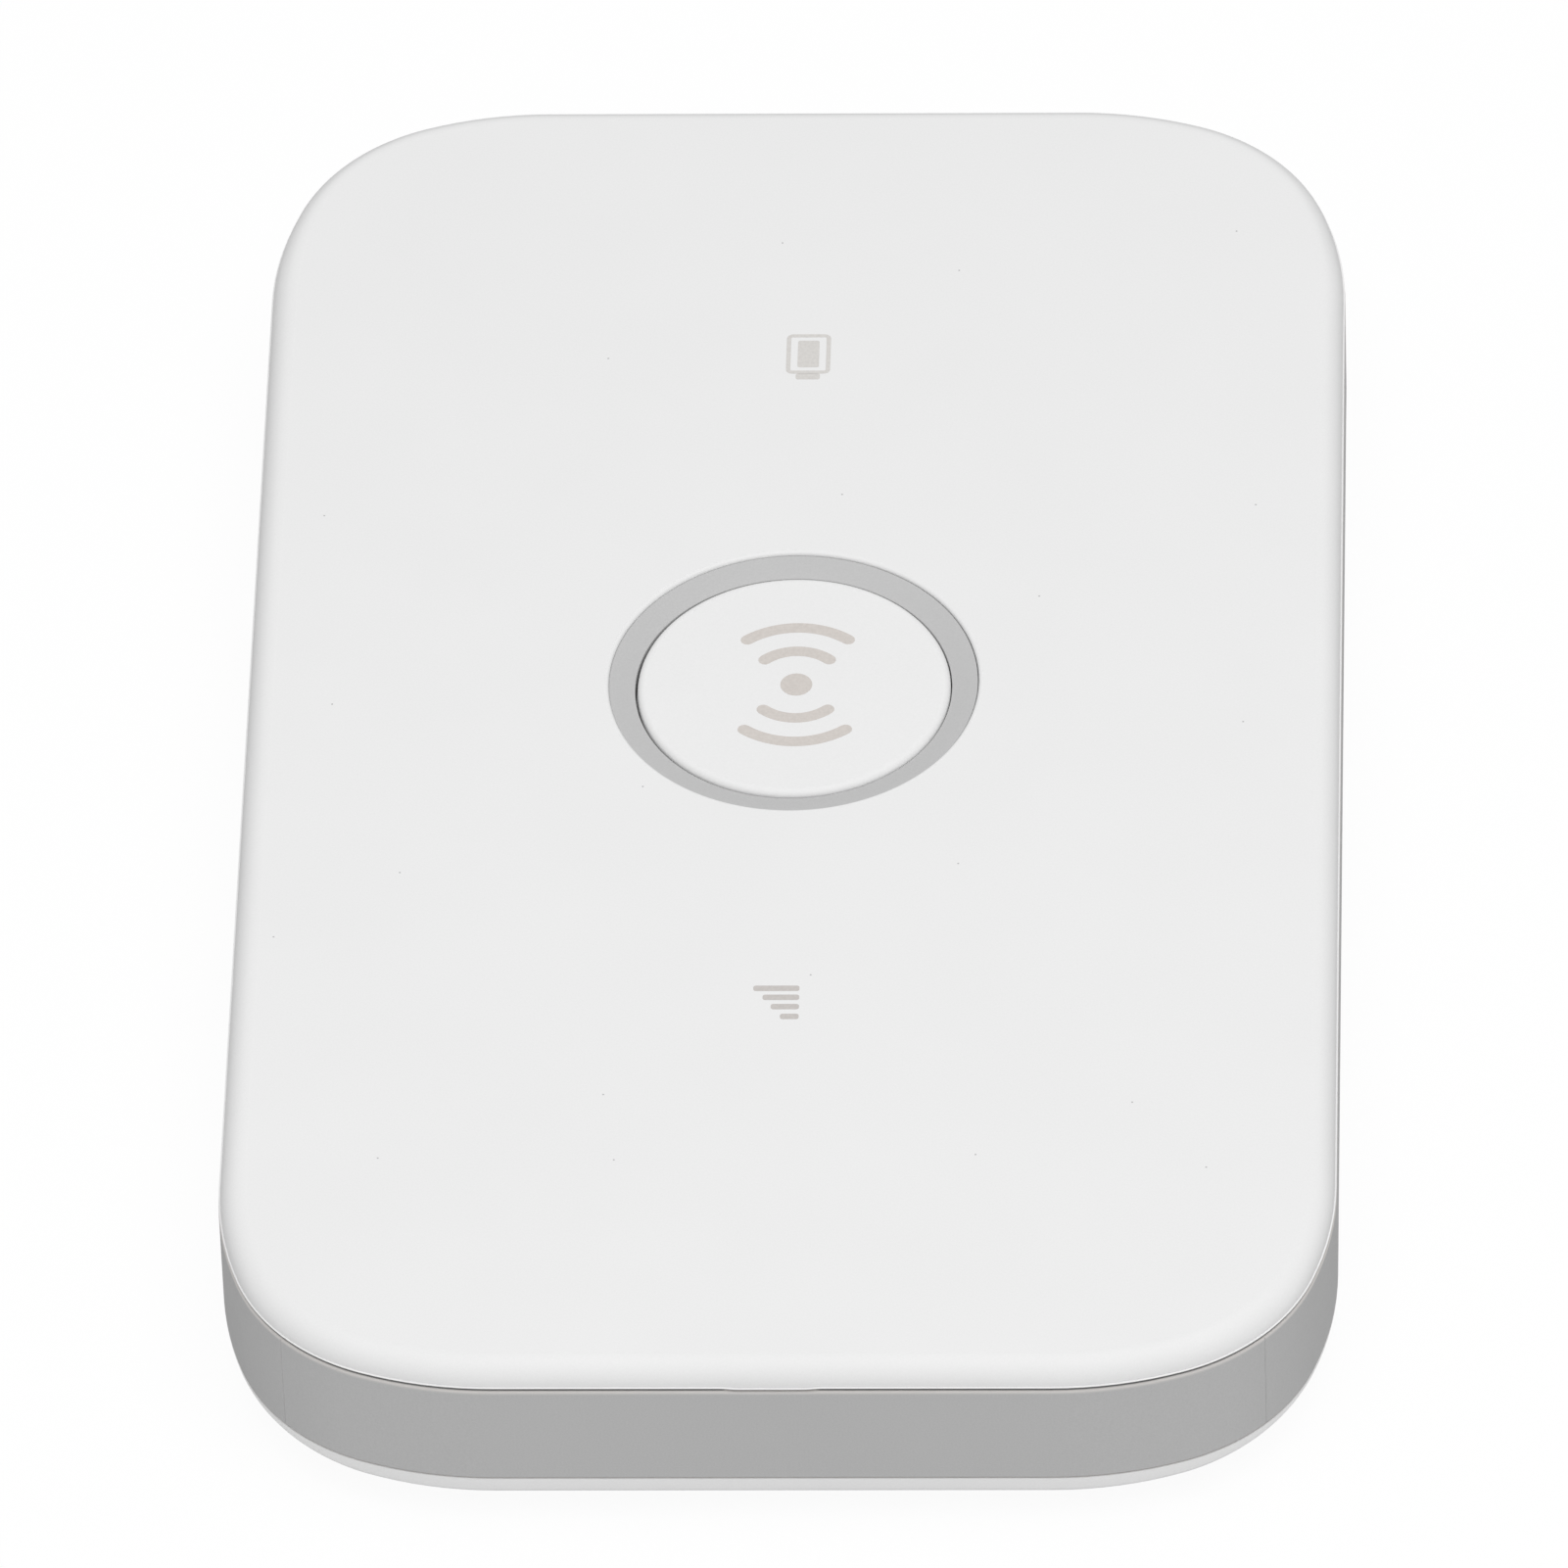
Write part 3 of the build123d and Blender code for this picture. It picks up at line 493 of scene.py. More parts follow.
def shell_plastic():
    """White plastic with dust specks on the top face, and painted shade on roundings seen edge on.
    """
    look = moulded_plastic("white_satin_plastic", WHITE)
    specks = look.node("ShaderNodeTexVoronoi", Vector=look.place, Scale=1 / DUST_SPACING)
    specks.voronoi_dimensions = "2D"
    on_top = look.math("GREATER_THAN", look.axis("Z"), (TOP - 0.05) * MM)
    dust = look.math("LESS_THAN", specks.outputs["Distance"], DUST_SIZE)
    dusty = look.blend(look.math("MULTIPLY", dust, on_top), look.colour(), shade(0.52))
    # Painted shade: roundings are darkened towards black as they are seen more nearly edge on.
    rounding = look.ramp(look.upness(), 0.99, 0.90)
    glancing_shade = look.ramp(look.facing(), 0.33, 0.80, 0.0, 0.15)
    look.paint(look.blend(look.math("MULTIPLY", rounding, glancing_shade), dusty, shade(0)))
    return look


def cover_plastic():
    """White plastic of the back cover, with painted shade where it turns under."""
    look = moulded_plastic("cover_satin_plastic", WHITE * 1.03)
    # Painted shade: faces that turn under are blended towards grey.
    under = look.ramp(look.upness(), -0.25, -0.70, 0.0, 0.45)
    look.paint(look.blend(under, look.colour(), shade(0.36)))
    return look


def band_paint():
    """Silver-grey paint, with a painted highlight and painted shade in its colour.

    It has a painted highlight, pale and a little warm, on the band's upper edge, painted shade in
    brownish on the lower edge and in dark grey inside the groove, and it is darker at a glancing
    angle: painted shade for the dimmer light on its sides, as metallic paints also darken there.
    """
    look = moulded_plastic(
        "silver_grey_paint", SILVER, roughness=0.55, specular=0.04, speckle=0.035, relief=0.6e-6
    )
    height = look.axis("Z")
    # Painted highlight: a pale warm tone over the band's upper rounding.
    edge_highlight = look.ramp(height, (CREST - 0.26) * MM, (CREST - 0.05) * MM, 0.0, 0.80)
    # Painted shade: the groove above the band's crest is made dark grey.
    groove = look.ramp(height, (CREST - 0.02) * MM, CREST * MM)
    # Painted shade: brownish dark on the band's lower edge, in the gap above the back cover.
    gap_shade = look.ramp(height, (COVER_TOP + 0.14) * MM, (COVER_TOP + 0.05) * MM, 0.0, 0.7)
    # Painted shade: darker at a glancing angle for the dimmer light on the sides, as metallic paints
    # also darken there.
    glancing_shade = look.ramp(look.facing(), 0.40, 1.0, 0.0, 0.34)
    tone = look.blend(glancing_shade, look.colour(), shade(0.25))
    tone = look.blend(edge_highlight, tone, PAINTED_EDGE_HIGHLIGHT)
    tone = look.blend(gap_shade, tone, PAINTED_GAP_SHADE)
    look.paint(look.blend(groove, tone, shade(0.28)))
    return look


def printed_ink(name, tint):
    """Beige screen print with the mottle of a fine halftone."""
    look = Look(name, roughness=0.55, specular=0.2)
    halftone = look.ramp(look.noise(0.16 * MM, detail=2), 0.30, 0.70)
    look.paint(look.blend(halftone, shade(0.95, tint), shade(1.04, tint)))
    look.uneven_gloss(0.3 * MM, 0.05)
    look.bump(halftone, 0.4e-6)
    return look


white = shell_plastic()
cover_white = cover_plastic()
button_white = moulded_plastic("button_satin_plastic", WHITE * 1.005, roughness=0.50)
silver = band_paint()
ring_silver = moulded_plastic(
    "ring_grey_paint", SILVER * 1.015, roughness=0.5, speckle=0.03, relief=0.7e-6
)
mark_ink = printed_ink("mark_ink", (0.646, 0.606, 0.573))
icon_ink = printed_ink("icon_ink", (0.680, 0.662, 0.640))
bar_ink = printed_ink("bar_ink", (0.585, 0.555, 0.535))

# ---- Top shell -------------------------------------------------------------------------------

HOLE_EDGE = 0.20
SUPPORT = 0.03  # distance of the extra loops that keep flat faces flat beside a rounding
RIM_STEP = 0.02  # gap between the nib and the step in the groove behind it
SKIRT_CHAMFER = 0.1
GUIDE_SIZE = (3.60, 4.60)
GUIDE_CORNER = 0.5
GUIDE_TOP = 10.40
CUT_START = 1.0  # the cutter of a light guide's pocket starts this far below the inner face
BOSS_RADIUS = 1.90
BOSS_BORE = 0.75
BOSS_CHAMFER = 0.1
BOSS_OVERLAP = 0.05
BOSS_SIDES = 32
BOARD_TOP = box_mm("main_board")[1].z
SCREWS = [(-21.5, 38.0), (21.5, 38.0), (-14.0, -43.9), (14.0, -43.9)]


def shell_strip(column):
    """Return the section of the top shell from its skirt, over its edge, and in to the ring."""
    low_edge = SHELL_LOW - nib_dip(column)
    outer = [(SKIRT_OUTER, SHELL_LOW), (GROOVE_DEPTH - RIM_STEP, SHELL_LOW)]
    outer.append((GROOVE_DEPTH - 2 * RIM_STEP, low_edge))
    low_centre = (BEAD_INSET + SHELL_LOW_EDGE, low_edge + SHELL_LOW_EDGE)
    outer += arc(low_centre, SHELL_LOW_EDGE, 270, 180, EDGE_STEPS)
    bead_top = low_edge + SHELL_LOW_EDGE + BEAD_EDGE
    outer += arc((BEAD_INSET + BEAD_EDGE, bead_top - BEAD_EDGE), BEAD_EDGE, 180, 90, 3)[1:]
    centre = (SHELL_INSET + SHELL_EDGE, TOP - SHELL_EDGE)
    first = 180 - math.degrees(math.asin((bead_top - centre[1]) / SHELL_EDGE))
    outer += arc(centre, SHELL_EDGE, first, 90, 16)
    outer.append((centre[0] + SUPPORT, TOP))
    strip = [at(column, inset, z) for inset, z in outer]
    hole = [(BEZEL_RADIUS + HOLE_EDGE + SUPPORT, TOP)]
    hole += arc((BEZEL_RADIUS + HOLE_EDGE, TOP - HOLE_EDGE), HOLE_EDGE, 90, 180, EDGE_STEPS)
    hole += [(BEZEL_RADIUS, TOP - HOLE_EDGE - SUPPORT), (BEZEL_RADIUS, SHELL_INNER)]
    facing = [on_circle(column, radius, z) for radius, z in hole]
    strip += [strip[-1].lerp(facing[0], share) for share in (0.25, 0.5, 0.75)]
    strip += facing
    skirt = [
        (SKIRT_INNER, SHELL_INNER),
        (SKIRT_INNER, SKIRT_LOW + SKIRT_CHAMFER),
        (SKIRT_INNER - SKIRT_CHAMFER, SKIRT_LOW),
        (SKIRT_OUTER + SKIRT_CHAMFER, SKIRT_LOW),
        (SKIRT_OUTER, SKIRT_LOW + SKIRT_CHAMFER),
    ]
    inner = [at(column, inset, z) for inset, z in skirt]
    strip.append(facing[-1].lerp(inner[0], 0.5))
    return strip + inner


def make_top_shell():
    """Add the top shell, with pockets in its inner face for the light guides."""
    bm = bmesh.new()
    skin(bm, [shell_strip(column) for column in OUTLINE])
    shell = new_object("white_top_shell", bm)
    pockets = bmesh.new()
    for icon_y in (BATTERY_ICON_Y, SIGNAL_ICON_Y):
        outline = rounded_rectangle((0, icon_y), GUIDE_SIZE, GUIDE_CORNER)
        prism(pockets, outline, SHELL_INNER - CUT_START, GUIDE_TOP)
    carve(shell, pockets)
    place_piece(shell, white, "housing", ["top_shell"])


def make_screw_bosses():
    """Add the tubes under the top shell that the case screws run up into."""
    section = [
        (BOSS_BORE + BOSS_CHAMFER, BOARD_TOP),
        (BOSS_RADIUS - BOSS_CHAMFER, BOARD_TOP),
        (BOSS_RADIUS, BOARD_TOP + BOSS_CHAMFER),
        (BOSS_RADIUS, SHELL_INNER + BOSS_OVERLAP),
        (BOSS_BORE, SHELL_INNER + BOSS_OVERLAP),
        (BOSS_BORE, BOARD_TOP + BOSS_CHAMFER),
    ]
    bm = bmesh.new()
    for screw in SCREWS:
        revolve(bm, section, screw, count=BOSS_SIDES)
    place_piece(new_object("screw_bosses", bm), white, "housing")


make_top_shell()
make_screw_bosses()

# ---- Side band -------------------------------------------------------------------------------

PORT_SIZE = (8.60, 3.40)
PORT_RADIUS = 1.65
PORT_CHAMFER = 0.15
usb_box = box_mm("usb_socket_shell")
PORT_Z = (usb_box[0].z + usb_box[1].z) / 2


def band_strip(column):
    """Return the section of the side band, with the groove and the nib's notch at its top."""
    crest = CREST - nib_dip(column)
    outer = arc((BAND_EDGE, COVER_TOP + BAND_EDGE), BAND_EDGE, 270, 180, EDGE_STEPS)
    outer += [(0, COVER_TOP + BAND_EDGE + SUPPORT), (0, crest - BAND_EDGE - SUPPORT)]
    outer += arc((BAND_EDGE, crest - BAND_EDGE), BAND_EDGE, 180, 90, EDGE_STEPS)
    outer = [(inset + column.line, z) for inset, z in outer]
    outer += [
        (BAND_EDGE + SUPPORT, crest),
        (GROOVE_DEPTH, crest),
        (GROOVE_DEPTH, SHELL_LOW),
        (BAND_WALL, SHELL_LOW),
        (BAND_WALL, COVER_TOP),
        (BAND_EDGE + SUPPORT, COVER_TOP),
    ]
    return [at(column, inset, z) for inset, z in outer]


def port_cutter():
    """Return the solid that cuts the charging port, which widens at its mouth."""
    sections = [(-2 * BAND_WALL, 0.0), (-PORT_CHAMFER, 0.0), (PORT_CHAMFER, 2 * PORT_CHAMFER)]
    rings = []
    for depth, grow in sections:
        size = [side + 2 * grow for side in PORT_SIZE]
        outline = rounded_rectangle((0, PORT_Z), size, PORT_RADIUS + grow, 10)
        rings.append([Vector((u, HALF_LENGTH + depth, v)) for u, v in outline])
    depths = (sections[0][0], sections[-1][0])
    bm = bmesh.new()
    poles = [Vector((0, HALF_LENGTH + depth, PORT_Z)) for depth in depths]
    skin(bm, [list(strip) for strip in zip(*rings)], poles)
    return bm


def make_side_band():
    """Add the side band with the opening of the charging port."""
    bm = bmesh.new()
    skin(bm, [band_strip(column) for column in OUTLINE])
    band = new_object("silver_side_band", bm)
    carve(band, port_cutter())
    place_piece(band, silver, "housing", ["side_band"])


make_side_band()

# ---- Back cover ------------------------------------------------------------------------------

COVER_INSET = 0.02
COVER_KNEE = 2.254  # below this height the side slopes in to the base
COVER_SLOPE = 50  # degrees from upright
KNEE_LIFT = 0.74  # the lip thins round the corners, as the knee rises with the turn
KNEE_LIFT_END = 0.60
KNEE_EDGE = 0.40
KNEE_REST = 2  # degrees of the knee's rounding that stay under the nail notch
BASE_EDGE = 2.00
COVER_WALL = 0.90
RIM_EDGE = 0.12
NOTCH_X = -18.0
NOTCH_HALF = 4.5
NOTCH_RAMP = 1.6
NOTCH_DEPTH = 0.80
TAB_LENGTH = 6.0
TAB_LOW = 1.60
TAB_TOP = box_mm("back_cover")[1].z
TAB_FOOT = 0.75  # the foot's outer side starts this far up, inside the sloping wall
TAB_STEP = 0.15
TAB_CHAMFER = 0.25
TAB_HEEL = 0.3
TAB_INSETS = (0.85, 1.20, 2.00)  # of a tab's foot, its outer face and its inner face
TABS_ALONG_Y = (-26.0, 0.0, 26.0)
TABS_ALONG_X = (-10.0, 10.0)

HALF_SLOPE = math.radians(COVER_SLOPE) / 2
RUN = math.tan(2 * HALF_SLOPE)  # how far the side slopes in for each unit of height
HOLLOW_INSET = COVER_INSET + COVER_WALL
HOLLOW_KNEE = COVER_KNEE + COVER_WALL * math.tan(HALF_SLOPE)


def cover_strip(column):
    """Return the section of the back cover, from the middle of its base to that of its floor."""
    notch = 0.0
    if column.y > 0:
        notch = NOTCH_DEPTH * ease((NOTCH_HALF - abs(column.x - NOTCH_X)) / NOTCH_RAMP)
    rim = COVER_TOP - notch
    knee = COVER_KNEE + min(KNEE_LIFT_END, KNEE_LIFT * column.nx**2)
    base_start = COVER_INSET + knee * RUN + BASE_EDGE * math.tan(math.pi / 4 - HALF_SLOPE)
    knee_height = knee + KNEE_EDGE * math.tan(HALF_SLOPE)
    knee_end = min(knee_height, rim - RIM_EDGE - SUPPORT)
    drop = math.degrees(math.asin((knee_height - knee_end) / KNEE_EDGE))
    lean = 180 + min(drop, COVER_SLOPE - KNEE_REST)
    outer = arc((base_start, BASE_EDGE), BASE_EDGE, 270, 180 + COVER_SLOPE, 12)
    outer += arc((COVER_INSET + KNEE_EDGE, knee_height), KNEE_EDGE, 180 + COVER_SLOPE, lean, 10)
    rim_inset = outer[-1][0]
    outer += arc((rim_inset + RIM_EDGE, rim - RIM_EDGE), RIM_EDGE, 180, 90, EDGE_STEPS)
    outer.append((rim_inset + RIM_EDGE + SUPPORT, rim))
    for z in (rim, min(HOLLOW_KNEE, rim - SUPPORT), COVER_WALL):
        outer.append((HOLLOW_INSET + max(0.0, HOLLOW_KNEE - z) * RUN, z))
    base = at(column, base_start + SUPPORT, 0)
    middle = Vector((0, 0, 0))
    strip = [base.lerp(middle, 0.5), base]
    strip += [at(column, inset, z) for inset, z in outer]
    return [*strip, strip[-1].lerp(middle + Vector((0, 0, COVER_WALL)), 0.5)]


def add_tabs(bm):
    """Add the upright tabs inside the rim that locate the housing."""
    foot, face, back_face = TAB_INSETS
    section = [
        (foot, TAB_LOW + TAB_FOOT),
        (foot, COVER_TOP - TAB_STEP),
        (face, COVER_TOP - TAB_STEP),
        (face, TAB_TOP - TAB_STEP),
        (face + TAB_STEP, TAB_TOP),
        (back_face - TAB_CHAMFER, TAB_TOP),
        (back_face, TAB_TOP - TAB_CHAMFER),
        (back_face, TAB_LOW + 2 * TAB_HEEL),
        (back_face - TAB_HEEL, TAB_LOW + TAB_HEEL / 3),
    ]
    rows = ((HALF_WIDTH, TABS_ALONG_Y, "Y"), (HALF_LENGTH, TABS_ALONG_X, "X"))
    for sign in (-1, 1):
        for reach, places, axis in rows:
            side = [(sign * (reach - inset), z) for inset, z in section]
            for place in places:
                prism(bm, side, place - TAB_LENGTH / 2, place + TAB_LENGTH / 2, axis)


def make_back_cover():
    """Add the back cover with its tabs."""
    bm = bmesh.new()
    poles = [Vector((0, 0, 0)), Vector((0, 0, COVER_WALL))]
    skin(bm, [cover_strip(column) for column in OUTLINE], poles)
    add_tabs(bm)
    cover = new_object("white_back_cover", bm)
    place_piece(cover, cover_white, "back_cover", ["back_cover"])


make_back_cover()

# ---- Ring and button -------------------------------------------------------------------------

bezel_box = box_mm("bezel_ring")
BEZEL_OUTER = BEZEL_RADIUS - 0.018
BEZEL_FACE = bezel_box[1].z
BEZEL_DISH = 10.42
BEZEL_BORE = 8.40
BEZEL_LOW = 9.30
BEZEL_FLANGE = 10.80
BEZEL_EDGE = 0.05  # roundings on the ring's two edges
RING_CENTRE = (-0.018, BUTTON_Y)  # the ring sits a hair to one side of its opening
FORK_X = 9.90
FORK_SIZE = (0.90, 3.20)
FORK_SLOT = 1.80
FORK_LOW = bezel_box[0].z
FORK_OVERLAP = 0.02
FORK_CORNER = 0.1

BUTTON_CENTRE = (0.015, BUTTON_Y)
BUTTON_LOOP = 4.0  # radius of a loop on the button's flat face
BUTTON_EDGE = 0.40
BUTTON_SKIN = 1.00
FLANGE_RADIUS = 9.10
FLANGE_TOP = 9.20
FLANGE_LOW = 8.85
POST_RADIUS = 1.60
POST_LOW = button_box[0].z
POST_CHAMFER = 0.1
KEY_START = FLANGE_RADIUS - 0.3
KEY_END = button_box[1].x
KEY_HALF = 0.80
KEY_CORNER = 0.1


def make_ring():
    """Add the dished ring with the two prongs that keep the button from turning."""
    slope = math.degrees(math.atan2(BEZEL_FACE - BEZEL_DISH, BEZEL_OUTER - BEZEL_BORE))
    edge = BEZEL_EDGE
    profile = [(BEZEL_BORE, BEZEL_LOW), (BEZEL_FLANGE, BEZEL_LOW), (BEZEL_FLANGE, SHELL_INNER)]
    profile += [(BEZEL_OUTER, SHELL_INNER), (BEZEL_OUTER, BEZEL_FACE - 2 * edge)]
    profile += arc((BEZEL_OUTER - edge, BEZEL_FACE - edge), edge, 0, 90 + slope, 5)
    profile += arc((BEZEL_BORE + edge, BEZEL_DISH - edge), edge, 90 + slope, 180, 5)
    profile.append((BEZEL_BORE, BEZEL_DISH - 2 * edge))
    bm = bmesh.new()
    revolve(bm, profile, RING_CENTRE)
    prong = (FORK_SIZE[1] - FORK_SLOT) / 2
    for sign in (-1, 1):
        middle = (FORK_X, BUTTON_Y + sign * (FORK_SLOT + prong) / 2)
        outline = rounded_rectangle(middle, (FORK_SIZE[0], prong), FORK_CORNER, 3)
        prism(bm, outline, FORK_LOW, BEZEL_LOW + FORK_OVERLAP)
    ring = new_object("silver_bezel_ring", bm)
    place_piece(ring, ring_silver, "housing", ["bezel_ring"])


def make_button():
    """Add the hollow button with its flange, its middle post and the key that stops it turning."""
    cavity_radius = BUTTON_RADIUS - BUTTON_SKIN
    cavity_top = BUTTON_TOP - BUTTON_SKIN
    edge_centre = (BUTTON_RADIUS - BUTTON_EDGE, BUTTON_TOP - BUTTON_EDGE)
    profile = [(BUTTON_LOOP, BUTTON_TOP), (edge_centre[0] - SUPPORT, BUTTON_TOP)]
    profile += arc(edge_centre, BUTTON_EDGE, 90, 0, 10)
    profile += [
        (BUTTON_RADIUS, edge_centre[1] - SUPPORT),
        (BUTTON_RADIUS, FLANGE_TOP),
        (FLANGE_RADIUS, FLANGE_TOP),
        (FLANGE_RADIUS, FLANGE_LOW),
        (cavity_radius, FLANGE_LOW),
        (cavity_radius, cavity_top),
        (POST_RADIUS, cavity_top),
        (POST_RADIUS, POST_LOW + POST_CHAMFER),
        (POST_RADIUS - POST_CHAMFER, POST_LOW),
    ]
    bm = bmesh.new()
    revolve(bm, profile, BUTTON_CENTRE, (BUTTON_TOP, POST_LOW))
    key_size = (KEY_END - KEY_START, 2 * KEY_HALF)
    key = rounded_rectangle(((KEY_START + KEY_END) / 2, BUTTON_Y), key_size, KEY_CORNER, 3)
    prism(bm, key, FLANGE_LOW, FLANGE_TOP)
    button = new_object("white_power_button", bm)
    place_piece(button, button_white, "power_button", ["power_button"])


make_ring()
make_button()

# ---- Printed marks ---------------------------------------------------------------------------

INK_HEIGHT = 0.008
INK_SINK = 0.02
STROKE = 0.24
ICON_CORNER = 0.12

BATTERY_MIDDLE = (0.19, BATTERY_ICON_Y + 0.10)
BATTERY_SIZE = (2.38, 3.10)
BATTERY_CORNERS = (0.34, 0.10)  # outside and inside
CHARGE_SIZE = (1.16, 2.10)
TERMINAL_SIZE = (1.30, 0.46)
TERMINAL_GAP = 0.22  # from the case's edge to the middle of the terminal

BAR_RIGHT = 0.87
BAR_THICKNESS = 0.40
BAR_CORNER = 0.14
BARS = [(2.42, 0.97), (1.92, 0.30), (1.48, -0.39), (0.98, -1.12)]  # length, and place along Y

MARK_CENTRE = (0.13, BUTTON_Y)
MARK_STROKE = 0.72
MARK_DOT = 0.85
MARK_ARCS = ((2.55, 42), (4.35, 38))  # radius, and half of the sweep in degrees


def print_mark(name, outlines, look, surface, body, rings=()):
    """Print closed outlines on a flat face as a thin layer of ink; rings are pairs of outlines."""
    low, high = surface - INK_SINK, surface + INK_HEIGHT
    made = bmesh.new()
    for outline in outlines:
        prism(made, outline, low, high)
    for outer, inner in rings:
        strips = []
        for far, near in zip(outer, inner):
            loop = [(far, low), (far, high), (near, high), (near, low)]
            strips.append([Vector((*point, z)) for point, z in loop])
        skin(made, strips)
    place_piece(new_object(name, made), look, body)


def bow(centre, radius, start, end, stroke, count=24):
    """Return the outline of an arc-shaped stroke with rounded ends."""
    outer = arc(centre, radius + stroke / 2, start, end, count)
    inner = arc(centre, radius - stroke / 2, end, start, count)
    tips = []
    for angle, turn in ((end, 0), (start, 180)):
        middle = arc(centre, radius, angle, angle, 1)[0]
        tips.append(arc(middle, stroke / 2, angle + turn, angle + turn + 180, 6)[1:-1])
    return outer + tips[0] + inner + tips[1]


def print_battery():
    """Print the outline of a battery round a block of charge, with its terminal beside it."""
    hollow = [side - 2 * STROKE for side in BATTERY_SIZE]
    case = (
        rounded_rectangle(BATTERY_MIDDLE, BATTERY_SIZE, BATTERY_CORNERS[0]),
        rounded_rectangle(BATTERY_MIDDLE, hollow, BATTERY_CORNERS[1]),
    )
    x, y = BATTERY_MIDDLE
    terminal_middle = (x, y - BATTERY_SIZE[1] / 2 - TERMINAL_GAP)
    blocks = [
        rounded_rectangle(BATTERY_MIDDLE, CHARGE_SIZE, ICON_CORNER, 3),
        rounded_rectangle(terminal_middle, TERMINAL_SIZE, ICON_CORNER, 3),
    ]
    print_mark("battery_icon_print", blocks, icon_ink, TOP, "housing", [case])


def print_signal():
    """Print four bars of growing length, level at their right ends."""
    bars = []
    for length, place in BARS:
        middle = (BAR_RIGHT - length / 2, SIGNAL_ICON_Y + place)
        bars.append(rounded_rectangle(middle, (length, BAR_THICKNESS), BAR_CORNER, 4))
    print_mark("signal_icon_print", bars, bar_ink, TOP, "housing")


def print_wireless_sign():
    """Print a dot with two arcs on each side, the usual sign for a wireless transmitter."""
    outlines = [arc(MARK_CENTRE, MARK_DOT, 0, 360, 24)[:-1]]
    for radius, half_sweep in MARK_ARCS:
        for way in (90, 270):
            first, last = way - half_sweep, way + half_sweep
            outlines.append(bow(MARK_CENTRE, radius, first, last, MARK_STROKE))
    print_mark("wireless_mark_print", outlines, mark_ink, BUTTON_TOP, "power_button")


print_battery()
print_signal()
print_wireless_sign()

# ---- Materials of the parts inside -----------------------------------------------------------

LABEL_BORDER = 1.4


def circuit_board():
    """Green solder mask over copper tracks and gilt vias, with layers of glass cloth at the edge."""
    look = Look("circuit_board", roughness=0.32, specular=0.5, coat=0.3)
    along = look.stripes("X", 1.30 * MM, 0.16)
    tracks = look.math("MAXIMUM", along, look.stripes("Y", 1.90 * MM, 0.11))
    areas = look.ramp(look.noise(7 * MM, detail=0), 0.47, 0.50)
    copper = look.math("MULTIPLY", tracks, areas)
    mask = look.blend(copper, (0.006, 0.060, 0.034, 1), (0.016, 0.120, 0.066, 1))
    vias = look.dots(2.40 * MM, 0.22 * MM)
    mask = look.blend(look.math("MULTIPLY", vias, areas), mask, (0.55, 0.40, 0.16, 1))
    flat = look.math("GREATER_THAN", look.math("ABSOLUTE", look.upness()), 0.5)
    sheets = look.stripes("Z", 0.20 * MM, 0.5)
    layers = look.blend(sheets, (0.33, 0.27, 0.13, 1), (0.25, 0.20, 0.09, 1))
    look.paint(look.blend(flat, layers, mask))
    look.uneven_gloss(1.5 * MM, 0.06)
    look.bump(copper, 8e-6)
    return look


def shield_plate():
    """Tin plate with rows of small vent holes, each a near-black dot of painted shade with a dip."""
    look = plated_metal("shield_tin_plate", 0.64, (1.0, 0.985, 0.95), 0.34, stretch=(1, 0.06, 1))
    vents = look.dots(2.00 * MM, 0.32 * MM)
    # Painted shade: the vents are not cut, so near-black dots stand for their dark insides.
    look.paint(look.blend(vents, look.colour(), shade(0.03)))
    look.bump(look.math("SUBTRACT", 1.0, vents), 30e-6)
    return look


def corner_dot(look, share=0.12, size=0.045):
    """Return 1 on a dot near one corner of the object, as the mark of a chip's first contact."""
    spread = look.tree.nodes.new("ShaderNodeTexCoord").outputs["Generated"]
    away = look.node("ShaderNodeVectorMath", Vector=spread)
    away.operation = "DISTANCE"
    away.inputs[1].default_value = (share, share, 1.0)
    return look.math("LESS_THAN", away.outputs["Value"], size)


def chip_compound():
    """Black moulding compound with fine filler and a printed dot at the first contact."""
    look = Look("chip_moulding_compound", roughness=0.55, specular=0.35)
    filler = look.ramp(look.cells(0.09 * MM), 0.05, 0.30)
    tone = look.blend(filler, shade(0.055), shade(0.028))
    look.paint(look.blend(corner_dot(look), tone, shade(0.30)))
    look.uneven_gloss(0.4 * MM, 0.06)
    look.bump(look.noise(0.08 * MM), 2e-6)
    return look


def thermal_silicone():
    """Soft blue-grey silicone with a powdery surface."""
    look = Look("thermal_silicone", roughness=0.75, specular=0.3)
    powder = look.ramp(look.noise(0.12 * MM, detail=4), 0.3, 0.7)
    look.paint(look.blend(powder, (0.24, 0.33, 0.43, 1), (0.33, 0.43, 0.53, 1)))
    look.uneven_gloss(0.6 * MM, 0.08)
    look.bump(look.noise(0.6 * MM, detail=3), 25e-6)
    return look


def ceramic_body():
    """Ceramic of small board components, brown in some places and near black in others."""
    look = Look("ceramic_body", roughness=0.45)
    flecks = look.ramp(look.noise(0.10 * MM, detail=3), 0.3, 0.7)
    regions = look.ramp(look.noise(5 * MM, detail=0), 0.42, 0.58)
    tone = look.blend(regions, (0.36, 0.25, 0.16, 1), (0.09, 0.08, 0.075, 1))
    look.paint(look.blend(flecks, tone, (0.30, 0.22, 0.15, 1)))
    look.uneven_gloss(0.4 * MM, 0.07)
    look.bump(flecks, 2e-6)
    return look


